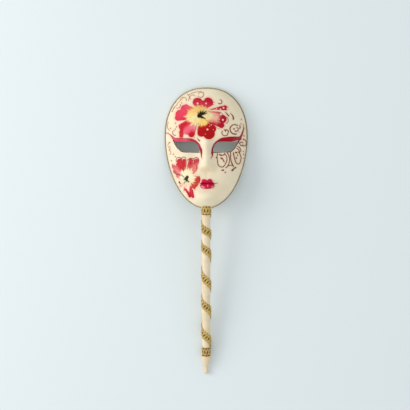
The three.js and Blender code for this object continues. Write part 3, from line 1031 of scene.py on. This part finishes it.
# %% Burgundy scrolls
SCROLL_DASHES = [
    (-50.5, -87.7, -48.6, -90.4, 1.41, 0.94), (-17, -5.4, -12.6, -10, 0.38, 1.13),
    (36.2, 44.7, 42.3, 37.9, 0.34, 1.22), (64.1, 20.4, 63.5, 13.8, 0.68, 0.68),
    (34.2, 11.7, 36.5, 8.7, 0.56, 1.03), (60.9, -10.2, 62.9, -14.3, 0.94, 0.38),
    (25.5, -36.4, 28.8, -37.6, 1.41, 1.13), (30.3, -37.9, 33.8, -36, 0.66, 0.94),
    (27.5, -42.6, 30.1, -43.9, 1.13, 1.41), (31.8, -46, 33.7, -50.1, 0.84, 0.66),
    (55.1, -31.4, 57.4, -31.7, 1.13, 1.31), (29.5, -65.9, 32.1, -65.2, 0.94, 1.31),
    (48.8, -65.3, 50.7, -63.8, 1.59, 1.31), (50.7, -63.4, 55.3, -59.9, 0.56, 1.22),
]
SCROLL_CURLS = [
    (25.9, 64.7, 4, -130, 212, 0.68, 0.68), (40.7, 33.1, 10.6, 61, -65, 0.38, 1.31),
    (53.9, 12.2, 9, 61, 226, 0.68, 1.03), (56.8, 12.5, 3.9, 74, -183, 0.68, 0.68),
    (35.3, 5.5, 5.8, 147, 216, 0.68, 0.68), (38.3, 7.7, 3.4, -34, 173, 0.68, 0.94),
    (70.2, -12.2, 6.4, 89, -185, 0.68, 0.68), (67.1, -14.5, 3, 30, 300, 0.68, 0.68, 0.6),
    (57, -27.7, 8.3, 73, -86, 0.68, 0.68), (54.9, -30.8, 8, 71, -81, 0.68, 0.68),
    (59.6, -41.7, 39.1, 168, 26, 0.68, 0.68), (28.9, -52.3, 7.1, 175, 182, 0.68, 0.68),
    (25.4, -44.1, 13.6, -39, 87, 0.68, 0.68), (23.9, -45.3, 20, 39, -72, 0.68, 0.68),
    (33.7, -53.8, 7.5, -18, -49, 0.68, 0.68), (90.2, -37.1, 44.6, 173, 35, 0.68, 0.94),
    (46.1, -65.6, 9.7, 139, -75, 0.68, 0.68), (145.9, -17.5, 96, -171, 11, 0.94, 0.68),
    (60, -48.5, 4.6, -160, 164, 0.68, 0.68), (50.2, -42, 15.7, -23, 72, 0.68, 0.68),
]
SCROLL_DOTS = [
    (-58, 24.3, 0.94), (-56.2, 17.1, 0.94), (-67.7, 14.9, 0.84), (-58.5, 13, 0.84),
    (-69.9, -12.1, 0.94), (-69.1, -19.8, 0.66), (-69.9, -25.6, 0.84), (-62.2, -34.6, 0.84),
    (-58.5, -39.7, 0.94), (-65.9, -47, 0.94), (-63.6, -54.4, 0.94), (-47.4, -94.5, 0.94),
    (-23, -3.3, 0.84), (23.4, 61.5, 0.94), (66.8, 32, 0.84), (66.1, 23.4, 0.94), (65.1, 17.4, 0.84),
    (54.8, 21.3, 0.84), (58.7, 20.9, 0.84), (62.1, 7.8, 0.56), (72.4, 14.9, 0.75),
    (71.9, 0.8, 1.13), (52.5, 13.1, 1.41), (55.5, 9.6, 0.94), (70.5, -6, 1.03), (70.9, -28.8, 0.84),
    (71.1, -34.5, 0.94), (71.5, -41.6, 0.84), (19.4, -41.7, 1.13), (50.9, -57.8, 1.22),
    (59.1, -36.4, 1.13), (56.7, -41.9, 1.31), (35.7, -69.4, 1.13),
]
SCROLL_COATS = [((228, 176, 152), 3.4, 0.2, 0.4), ((98, 42, 12), 0.3, -0.1, 0.97)]
paint = painted(paint, steady, SCROLL_COATS, SCROLL_DASHES, SCROLL_CURLS, SCROLL_DOTS)

# %% [markdown]
# A petal is a few fat strokes that swell away from the flower's heart. Its colour depends on the
# direction from the heart, because each petal had its own load of paint, and on how deep the
# place lies inside the petal, because wet paint gathers at the edge. Noise that runs round the
# heart, and hardly outwards, makes the dry streaks between cream and crimson.


# %% A flower
RAY_DRIFT = 0.012
FINER = 3.1


def flower(under, petals, centre, heart, heart_size, deep, pale, cream, thread, streaks, spread,
           turns):
    """Lays one flower over the paint so far. Deep, pale and cream are its colours by direction,
    turns is where pale turns deep, and spread is how far the dry streaks reach."""
    distance = drawn(face, loaded, petals)
    arm = face.vector("SUBTRACT", on_face, (*centre, 0))
    parts = face.split(arm)
    angle = face.sum("ARCTAN2", parts["Y"], parts["X"])
    share = face.sum("FRACT", face.sum("DIVIDE", angle, 2 * math.pi))
    ray = face.joined(face.sum("COSINE", angle), face.sum("SINE", angle),
                      face.sum("MULTIPLY", face.vector("LENGTH", arm), RAY_DRIFT))
    dry = face.noise(ray, scale=streaks, detail=3, roughness=0.65)
    fine_dry = face.noise(ray, scale=streaks * FINER, detail=2)
    from_heart = face.vector("SUBTRACT", on_face, (*heart, 0))
    from_heart = face.vector("DIVIDE", from_heart, (*heart_size, 1))
    reach = face.sum("MULTIPLY_ADD", face.sum("SUBTRACT", dry, 0.5), spread,
                     face.vector("LENGTH", from_heart))
    deep_here = face.colours(share, deep)
    petal = face.coat(face.colours(share, pale), deep_here, face.ramp(reach, *turns))
    petal = face.coat(petal, deep_here, face.ramp(distance, -1.6, -0.2, 0, 0.7))
    petal = face.coat(petal, face.colours(share, cream), face.ramp(reach, 1.14, 0.86))
    in_heart = face.sum("MULTIPLY", face.ramp(reach, 1.25, 1),
                        face.ramp(fine_dry, 0.52, 0.66, 0, 0.6))
    petal = face.coat(petal, thread, in_heart)
    halo = face.brushed(under, distance, (238, 150, 140), 5, 0, 0.42)
    cover = face.sum("MAXIMUM", face.ramp(distance, 0.45, -0.45), face.ramp(reach, 1.05, 0.85))
    return face.coat(halo, petal, cover)


def sectors(*stops):
    """Colours by direction: rows of degrees, counter-clockwise from the right, and a colour."""
    return [(degrees / 360, ink(*colour)) for degrees, *colour in stops]


# %% The big flower
TOP_PETAL_DASHES = [
    (-12.5, 51.4, -16.3, 63.3, 5.63, 9.38), (-7, 52.4, -6.1, 62.1, 5.63, 5.63),
    (-5.1, 53.1, 3.7, 64.2, 5.63, 8.82), (-0.4, 54.3, 11.3, 61.7, 3.75, 3.56),
    (-26.1, 48.7, -40.5, 51, 5.63, 8.25), (-28.7, 40.3, -49.2, 40.8, 5.63, 9.38),
    (-32.5, 34.2, -53.4, 34.8, 4.88, 6.19), (-31.8, 51.9, -38.3, 56, 3.75, 4.13),
    (-30.6, 26.9, -46.1, 17.7, 4.69, 6.19), (-33.6, 21.3, -45.9, 5.9, 5.25, 5.44),
    (-29.4, 21.2, -35.5, 9.9, 5.63, 8.25), (-44.6, 14.6, -47.2, -1.3, 4.31, 3.56),
    (-24.9, 18.1, -27.9, 3.7, 5.63, 6.57), (-9.8, 21.8, -9.1, 5.5, 6, 7.88),
    (-4.2, 19.9, 4.8, 4.3, 6.57, 11.63), (0.3, 23.7, 11.2, 12.7, 5.63, 7.69),
    (1.5, 37.8, 19.9, 37.9, 5.63, 7.88), (5.2, 35.1, 30.5, 31.1, 5.63, 8.07),
    (8.2, 29.4, 28.6, 19.7, 5.63, 5.44), (6.7, 49.3, 20.3, 51.5, 0.47, 2.06),
    (20.3, 51.5, 35.9, 53, 2.44, 4.88),
]
TOP_DEEP = sectors(
    (0, 184, 14, 44), (12, 188, 26, 50), (32, 192, 36, 54), (80, 190, 34, 54), (122, 194, 46, 62),
    (140, 216, 68, 88), (180, 220, 60, 82), (200, 212, 40, 66), (216, 202, 12, 40),
    (227, 240, 108, 126), (237, 236, 92, 114), (244, 204, 26, 54), (252, 205, 24, 52),
    (264, 178, 0, 14), (316, 176, 0, 12), (328, 180, 8, 42), (360, 184, 18, 48))
TOP_PALE = sectors(
    (0, 236, 172, 150), (14, 216, 84, 92), (32, 202, 58, 74), (122, 204, 66, 78),
    (140, 228, 90, 108), (180, 226, 66, 92), (200, 214, 40, 70), (217, 208, 24, 54),
    (228, 242, 116, 134), (252, 246, 146, 152), (266, 192, 8, 22), (316, 186, 4, 18),
    (326, 214, 70, 84), (340, 238, 178, 154), (360, 236, 172, 150))
TOP_CREAM = sectors(
    (0, 236, 218, 170), (60, 228, 190, 120), (110, 242, 196, 112), (165, 248, 208, 126),
    (200, 248, 228, 164), (245, 246, 226, 160), (272, 248, 214, 128), (300, 252, 214, 120),
    (330, 242, 220, 160), (360, 236, 218, 170))
paint = flower(paint, TOP_PETAL_DASHES, centre=(-10.8, 40.5), heart=(-12.4, 37.6),
               heart_size=(25, 18.5), deep=TOP_DEEP, pale=TOP_PALE, cream=TOP_CREAM,
               thread=ink(222, 150, 70), streaks=7, spread=1.15, turns=(1.2, 1.75))
print("big flower", len(TOP_PETAL_DASHES), "strokes")

# %% The small flower
LOW_PETAL_DASHES = [
    (-40.1, -68.8, -50, -48.7, 4.88, 5.44), (-40.1, -65.1, -41.7, -47.4, 3, 3.38),
    (-45.4, -63.1, -51.9, -54.7, 4.5, 5.25), (-33, -70, -28.9, -48.6, 4.13, 4.69),
    (-28.5, -68.9, -18, -47.9, 4.13, 3.94), (-27.4, -70.8, -19.5, -60.7, 4.13, 4.13),
    (-45.5, -73.6, -61.2, -58.1, 3.19, 3.38), (-45.5, -77.4, -58.9, -67.6, 3.19, 3.56),
    (-46.2, -80, -53.9, -76, 2.81, 3.19), (-26.6, -79.1, -16.1, -81.4, 2.81, 4.88),
    (-16.5, -82.9, -22.5, -92.9, 5.63, 5.82), (-24.7, -89.6, -23.6, -95.9, 4.5, 4.13),
    (-22.1, -96.3, -21.3, -100.6, 2.06, 1.31), (-38.3, -101, -30.4, -113.4, 1.5, 3.38),
    (-29.2, -95.1, -28.1, -106.4, 1.69, 3.75), (-27.7, -104.5, -25.1, -115, 3.75, 2.63),
    (-40.9, -88.7, -49, -95.6, 1.88, 1.31), (-39, -91.3, -41.3, -103.2, 1.88, 1.31),
]
LOW_DEEP = sectors(
    (0, 186, 44, 34), (18, 192, 50, 42), (36, 200, 60, 66), (62, 196, 56, 62), (70, 178, 36, 44),
    (88, 184, 40, 50), (97, 206, 40, 62), (130, 204, 36, 58), (138, 206, 90, 96),
    (152, 178, 84, 80), (180, 192, 76, 82), (205, 222, 150, 132), (255, 226, 150, 136),
    (264, 206, 36, 60), (298, 206, 36, 60), (308, 188, 48, 38), (360, 186, 44, 34))
LOW_PALE = sectors(
    (0, 198, 66, 52), (18, 226, 110, 94), (36, 232, 130, 118), (62, 230, 122, 112),
    (70, 208, 80, 78), (88, 214, 88, 88), (97, 184, 0, 30), (120, 190, 10, 38),
    (138, 240, 132, 132), (152, 200, 108, 100), (180, 228, 144, 132), (205, 234, 186, 164),
    (255, 236, 180, 160), (264, 208, 34, 58), (298, 210, 44, 62), (308, 200, 62, 50),
    (360, 198, 66, 52))
LOW_CREAM = sectors(
    (0, 246, 234, 196), (90, 246, 232, 190), (150, 244, 228, 194), (215, 238, 222, 188),
    (280, 236, 208, 162), (330, 240, 222, 178), (360, 244, 230, 190))
paint = flower(paint, LOW_PETAL_DASHES, centre=(-37.9, -81), heart=(-35.8, -79),
               heart_size=(14, 16.5), deep=LOW_DEEP, pale=LOW_PALE, cream=LOW_CREAM,
               thread=ink(226, 196, 140), streaks=6, spread=1.5, turns=(1.45, 2.5))
print("small flower", len(LOW_PETAL_DASHES), "strokes")

# %% Deep touches on the petals
DEEP_DASHES = [
    (-46.1, 17.3, -47.2, -1.7, 3.19, 3.56), (-45.3, 19.6, -41.9, 21.8, 2.63, 1.5),
    (-29.4, 2.6, -27.5, 2.2, 2.44, 2.44), (-50.4, -49.5, -48.1, -54.8, 3.75, 4.5),
    (-47.7, -53.7, -42.8, -57.5, 3.94, 3.19), (-29.3, -50.9, -29.6, -54.7, 1.31, 1.31),
]
paint = painted(paint, loaded, [((194, 14, 40), 1.6, -1.4, 0.95)], DEEP_DASHES)

# %% Thin outlines on the petals
OUTLINE_DASHES = [
    (-17.4, 24.5, -19.6, 8.6, 0.19, 0.38), (-14.7, 23.7, -13.2, 8.5, 0.19, 0.38),
    (-17.6, -57, -18.7, -68.2, 0.66, 0.47), (-39, -101.8, -30.8, -114.9, 0.94, 0.84),
    (-26.6, -101.9, -23.6, -114.6, 0.56, 0.75), (-30.5, -104.5, -29.2, -114.9, 0.38, 0.75),
]
OUTLINE_CURLS = [
    (10.6, 22.1, 23.8, 125, -54, 0.28, 0.38), (21.5, 33.1, 11.9, 105, -94, 0.38, 0.56),
    (23.1, 52.7, 33.3, -142, 36, 0.23, 0.38), (30.1, 31.2, 19.4, -147, 43, 0.38, 0.28),
    (35.1, 29.1, 6.6, 107, -171, 0.56, 0.66), (-28.2, 2.5, 5.2, 162, 194, 0.47, 0.56),
    (-51.6, -46, 5.1, -145, -199, 0.66, 0.84), (-42, -44.4, 4, -166, -243, 0.84, 0.66),
    (-28.6, -52.2, 8.9, -142, -126, 0.38, 0.75), (-27.7, -48.8, 5.7, 103, -147, 0.75, 0.56),
    (-18.5, -46.6, 4.7, -159, -214, 0.66, 0.84), (-24.1, -49.2, 10.3, 9, -65, 0.75, 0.56),
    (-42.3, -55.5, 21.7, 178, 56, 0.41, 0.56), (-53.3, -76.6, 4.1, 128, -132, 0.75, 0.56),
    (-25.7, -83.5, 14.1, 27, -92, 0.47, 0.66),
]
paint = painted(paint, steady, [((146, 10, 16), 0.35, -0.25, 0.85)], OUTLINE_DASHES, OUTLINE_CURLS)

# %% Dark centres
VEIN_DASHES = [
    (-13.6, 36.7, -0.4, 45.8, 3.19, 0.66), (-13.6, 37.4, -2.3, 32.1, 3, 0.56),
    (-12.9, 38.2, -10.6, 47, 2.06, 0.38), (-12.1, 38.9, -5.7, 47, 2.44, 0.56),
    (-11, 38.9, 1.1, 42, 1.88, 0.38), (-14.6, 37.1, -15.1, 45.1, 1.13, 0.28),
    (-37.9, -81.6, -35.4, -78.1, 3, 2.63), (-37.1, -82, -36.6, -85.3, 2.81, 1.5),
    (-38.3, -81.6, -42, -82.5, 1.88, 0.56), (-36.4, -83.5, -32.8, -87.4, 0.75, 0.94),
    (-41.7, -78.2, -47.4, -73.6, 0.38, 0.38), (-39.8, -86.1, -41.7, -90.2, 0.47, 0.28),
]
VEIN_COATS = [((120, 112, 60), 2.4, 0.2, 0.3), ((42, 40, 4), 0.35, -0.15)]
paint = painted(paint, steady, VEIN_COATS, VEIN_DASHES)

# %% [markdown]
# Each lid is one long stroke, loaded afresh along the way, bright over the eye and darker towards
# the nose. One ramp of colours read from left to right does for both. The dark line under each
# eye is where wet paint ran into the cut, so it follows the opening's edge. It is drawn for one
# eye and mirrored for the other.

# %% The lids
LID_DASHES = [
    (64, -4.3, 48.6, -6.1, 3.38, 4.5), (48.6, -6.1, 35.4, -7.8, 4.5, 4.69),
    (-66.8, 1, -59.8, -6.9, 0.94, 3.19), (-59.8, -7.3, -45.7, -9.9, 3.56, 5.44),
    (-45.7, -9.9, -30.6, -10.1, 5.44, 5.06),
]
LID_CURLS = [
    (33.1, 19.1, 38, 6, -39, 0.28, 2.06), (44.1, 2.2, 21.3, -9, -31, 2.06, 0.94),
    (36, -31.3, 23.4, 92, 69, 4.69, 2.81), (50.3, -36.2, 39, 159, 19, 2.63, 1.88),
    (-4, -34.4, 15.7, 1, -37, 1.41, 0.38), (-82.7, -13.3, 21.4, 87, -45, 0.19, 0.84),
    (-31.8, -30.9, 20.8, 86, -72, 5.06, 2.44), (-26.1, -33.4, 17, 32, -38, 2.63, 1.69),
    (20.3, -34.3, 29.7, 180, 19, 1.31, 0.28),
]
LID_SPAN = 75
LID_COLOURS = [
    (0.06, 216, 84, 108), (0.17, 232, 66, 88), (0.24, 234, 92, 108), (0.31, 188, 52, 66),
    (0.44, 166, 38, 62), (0.57, 140, 30, 50), (0.62, 178, 26, 60), (0.72, 172, 2, 36),
    (0.82, 172, 22, 48), (0.9, 176, 60, 76), (0.97, 136, 60, 62),
]
distance = drawn(face, steady, LID_DASHES, LID_CURLS)
share = face.sum("MULTIPLY_ADD", face.split(on_face)["X"], 0.5 / LID_SPAN, 0.5)
lid = face.colours(share, [(place, ink(*colour)) for place, *colour in LID_COLOURS])
lid = face.brushed(lid, distance, (104, 22, 38), -1.7, -0.3, 0.75)
paint = face.brushed(paint, distance, (236, 160, 150), 3.5, 0, 0.35)
paint = face.coat(paint, lid, face.ramp(distance, 0.3, -0.3))
print(len(LID_DASHES) + len(LID_CURLS), "lid strokes")

# %% The dark line under the eyes
EYE_LINE = [
    (12.6, -32.4, 43.7, -30.7, 0.6, 0.75), (43.7, -30.7, 47.6, -29.1, 0.8, 0.85),
    (47.6, -29.1, 54, -23.1, 0.85, 0.95), (54, -23.1, 59.3, -14.3, 0.95, 1),
    (59.3, -14.3, 62, -8.5, 1, 0.8),
]
eye_lines = [(side * x0, y0, side * x1, y1, start, end)
             for side in (1, -1) for x0, y0, x1, y1, start, end in EYE_LINE]
paint = painted(paint, steady, [((74, 28, 28), 0.4, -0.2, 0.9)], eye_lines)

# %% [markdown]
# The lips are painted over the modelled ones in deep pink, with a dark parting between them. Three
# small pale pink strokes on the lower lip are painted highlights that stand in for its shine, so
# they stay where they are drawn, wherever the lamp stands.

# %% The painted lips
LIP_DASHES = [
    (-4.2, -87.1, 1, -88.6, 4.88, 4.13), (6.8, -86.9, 2.9, -88.6, 4.88, 4.13),
    (-4.2, -88.9, -10.9, -90.8, 3.56, 0.56), (7.7, -88.2, 14.8, -90.8, 3.75, 0.94),
    (14.8, -90.8, 20.8, -90, 0.75, 0.23), (-8.6, -92.3, -6, -94.6, 1.5, 3),
    (12.2, -92.3, 10, -94.6, 1.5, 3),
]
LIP_CURLS = [(2.1, -69.9, 26, -110, 39, 4.88, 4.88)]
LIP_PARTING = -91.2
distance = drawn(face, steady, LIP_DASHES, LIP_CURLS)
height = face.split(on_face)["Y"]
lips = face.coat(ink(214, 26, 74), ink(206, 38, 74), face.ramp(height, -92, -84))
parting = face.ramp(face.sum("ABSOLUTE", face.sum("ADD", height, -LIP_PARTING)), 4.4, 0.3, 0, 0.85)
lips = face.coat(lips, ink(160, 0, 24), parting)
lips = face.brushed(lips, distance, (146, 14, 44), -1.3, -0.2, 0.5)
paint = face.brushed(paint, distance, (238, 160, 150), 3.5, 0, 0.4)
paint = face.coat(paint, lips, face.ramp(distance, 0.3, -0.3))
print(len(LIP_DASHES) + len(LIP_CURLS), "lip strokes")

# %% Painted highlights on the lips
LIP_HIGHLIGHT_DASHES = [
    (-8.5, -96, -3.8, -98.1, 1.5, 1.22), (2.7, -93.5, 2.7, -96.6, 0.66, 0.56),
    (10.4, -97.5, 13, -95.6, 1.13, 0.94),
]
# Painted highlights: pale pink strokes that stand in for the shine on the lower lip.
paint = painted(paint, steady, [((240, 150, 168), 0.8, -0.4, 0.8)], LIP_HIGHLIGHT_DASHES)

# %% Pale dots last
PALE_DOTS = [
    (-16.3, 61.4, 1.59), (-0.4, 61.3, 1.5), (14.3, 61.1, 1.5), (-8, 57, 1.03), (26.9, 40.2, 1.5),
    (6.4, 18, 0.75), (13.5, 11.2, 0.66), (-1.6, 2.7, 0.56), (21.1, 34.8, 0.75), (31.3, 29.8, 1.78),
    (24.3, 30.3, 0.84), (2.2, 11.5, 1.69), (9.7, 20.3, 0.94), (19.6, 51.7, 0.94), (26.8, 50.6, 1.5),
    (32.7, 52.9, 1.69), (39.7, 52.3, 1.41),
]
paint = painted(paint, steady, [((250, 205, 196), 0.5, -0.5, 0.95)], dots=PALE_DOTS)
face.shade("Base Color", paint)
print("the painting has", len(face.tree.nodes), "nodes")

# %% [markdown]
# Enamel is satin: it shines a little more where the brush left it thick. The bump holds only the
# brush marks and the faint grain of the paper under them.

# %% Sheen and grain
rough = face.ramp(brush_marks, 0.3, 0.7, 0.36, 0.48)
face.shade("Roughness", rough)
face.shade("Specular IOR Level", 0.18)
grain = face.noise(face.object_place, scale=900, detail=3)
relief = face.sum("MULTIPLY_ADD", brush_marks, 0.7, face.sum("MULTIPLY", grain, 0.3))
face.bump(relief, distance=0.00012)
print("the painted face has", len(face.tree.nodes), "nodes")

# %% [markdown]
# The hollow side and the underside of the edge are bare: papier-mache under a thin wash of gesso,
# dull and slightly fibrous, with the overlapping paper strips still showing.

# %% Bare paper inside
UNDERSIDE = -0.7

bare = Finish("bare_gesso")
patch = bare.node("TexVoronoi", {"Vector": bare.object_place, "Scale": 45})
fibre = bare.noise(bare.vector("MULTIPLY", bare.object_place, (700, 260, 260)), scale=1, detail=4)
tone = bare.coat(ink(222, 214, 196), ink(206, 196, 174), bare.ramp(patch["Color"], 0.2, 0.8))
tone = bare.coat(tone, ink(188, 174, 148), bare.ramp(fibre, 0.55, 0.8, 0, 0.5))
bare.shade("Base Color", tone)
bare.shade("Roughness", 0.88)
bare.bump(bare.sum("MULTIPLY_ADD", patch["Distance"], 0.5, fibre), distance=0.0003)
shell.data.materials[0] = face.material
shell.data.materials[1] = bare.material
for polygon in shell.data.polygons:
    if polygon.normal.z < UNDERSIDE:
        polygon.material_index = 1
print("shell materials", [m.name for m in shell.data.materials])

# %% [markdown]
# Gold thread
#
# Gimp cord is metallic thread wound tightly round a core, so it glints in fine slanting lines and
# dulls in the grooves. Here the grooves get a darker colour, which is painted shade. The winding
# follows each tube through the places noted on it: an angle round the tube and a length along it.
# The edge cord is the same thread, older and browner.


# %% Wound thread
def wound_thread(name, bright, groove_shade_and_dull, windings):
    """Metallic thread wound round a cord; windings is how many lines go past in a millimetre."""
    gold = Finish(name)
    parts = gold.split(gold.node("Attribute", (), attribute_name="thread")["Vector"])
    phase = gold.sum("MULTIPLY", parts["Z"], 2 * math.pi * windings)
    line = gold.sum("ADD", gold.sum("MULTIPLY", gold.sum("SINE", phase), parts["X"]),
                    gold.sum("MULTIPLY", gold.sum("COSINE", phase), parts["Y"]))
    uneven = gold.noise(gold.object_place, scale=420, detail=3)
    # Painted shade: the dull colour darkens the grooves between the windings. The next coat lays
    # the same dull colour in random patches.
    tone = gold.coat(ink(*bright), ink(*groove_shade_and_dull), gold.ramp(line, -0.2, 0.95, 0, 0.75))
    tone = gold.coat(tone, ink(*groove_shade_and_dull), gold.ramp(uneven, 0.5, 0.75, 0, 0.7))
    gold.shade("Base Color", tone)
    gold.shade("Metallic", 0.35)
    gold.shade("Specular IOR Level", 0.3)
    gold.shade("Roughness", gold.ramp(uneven, 0.3, 0.7, 0.32, 0.5))
    gold.bump(line, distance=0.00012)
    return gold.material


braid_gold = wound_thread("gimp_gold", (252, 220, 140), (126, 88, 30), windings=1.1)
edge_gold = wound_thread("edge_gold", (216, 190, 120), (90, 70, 24), windings=1.6)
for ring in (spiral, top_ring, low_ring):
    ring.data.materials.append(braid_gold)
cord.data.materials.append(edge_gold)

# %% Painted shade in the eyes between the cords
plait_shade = Finish("braid_eye_shade")
weave = plait_shade.noise(plait_shade.object_place, scale=1500, detail=2)
# Painted shade: the dark brown band shows through the eyes of the plait, where the shade falls.
plait_shade.shade("Base Color", plait_shade.coat(ink(84, 48, 20), ink(48, 26, 12), weave))
plait_shade.shade("Roughness", 0.8)
plait_shade.bump(weave, distance=0.0002)
for shade_band in (spiral_shade_band, top_shade_band, low_shade_band):
    shade_band.data.materials.append(plait_shade.material)
print("plait_shade", len(plait_shade.tree.nodes), "nodes")

# %% [markdown]
# The stick's enamel is the face's ivory, a little yellower, brushed along the wood. Faint
# lengthways grain tells that there is turned wood under it.

# %% Ivory on wood
wood = Finish("stick_ivory")
lengthways = wood.vector("MULTIPLY", wood.object_place, (900, 30, 900))
grain = wood.noise(lengthways, scale=1, detail=3)
blotch = wood.noise(wood.object_place, scale=60, detail=3)
tone = wood.coat(ink(236, 220, 190), ink(228, 206, 168), wood.ramp(blotch, 0.35, 0.7))
tone = wood.coat(tone, ink(210, 180, 130), wood.ramp(grain, 0.58, 0.8, 0, 0.45))
wood.shade("Base Color", tone)
wood.shade("Roughness", wood.ramp(grain, 0.3, 0.7, 0.34, 0.5))
wood.shade("Specular IOR Level", 0.35)
wood.bump(grain, distance=0.0001)
stick.data.materials.append(wood.material)
print("stick", len(wood.tree.nodes), "nodes")

# %% [markdown]
# The table and the light
#
# The object lies on a plain pale sheet in a bright white room. Light comes softly from all round,
# with a large window on the left that lays a faint shadow to the right and leaves the hollow
# behind the eyes dim.

# %% The table
TABLE_SIZE = 6

table = added("table", bpy.ops.mesh.primitive_plane_add, size=TABLE_SIZE, location=(0, 0, 0))
sheet = Finish("table_sheet")
tooth = sheet.noise(sheet.object_place, scale=400, detail=2)
sheet.shade("Base Color", sheet.coat((0.78, 0.832, 0.83, 1), (0.76, 0.812, 0.81, 1), tooth))
sheet.shade("Roughness", 0.9)
table.data.materials.append(sheet.material)
told(table)

# %% The light
world = bpy.data.worlds.new("studio")
world.use_nodes = True
sky = world.node_tree.nodes["Background"]
sky.inputs["Color"].default_value = (0.93, 0.97, 1, 1)
sky.inputs["Strength"].default_value = 0.81
bpy.context.scene.world = world
bpy.context.scene.view_settings.view_transform = "Standard"

FACE_MIDDLE = (0, 0.05, 0)


def soft_box(name, place, size, watts):
    """A round lamp that faces the object."""
    light = bpy.data.lights.new(name, "AREA")
    light.shape = "DISK"
    light.size = size
    light.energy = watts
    lamp = bpy.data.objects.new(name, light)
    lamp.location = place
    aim = Vector(FACE_MIDDLE) - Vector(place)
    lamp.rotation_euler = aim.to_track_quat("-Z", "Y").to_euler()
    bpy.context.scene.collection.objects.link(lamp)
    print(name, watts, "W,", size, "m across")


soft_box("window", (-2.3, 0.45, 1.32), size=1.8, watts=35.5)
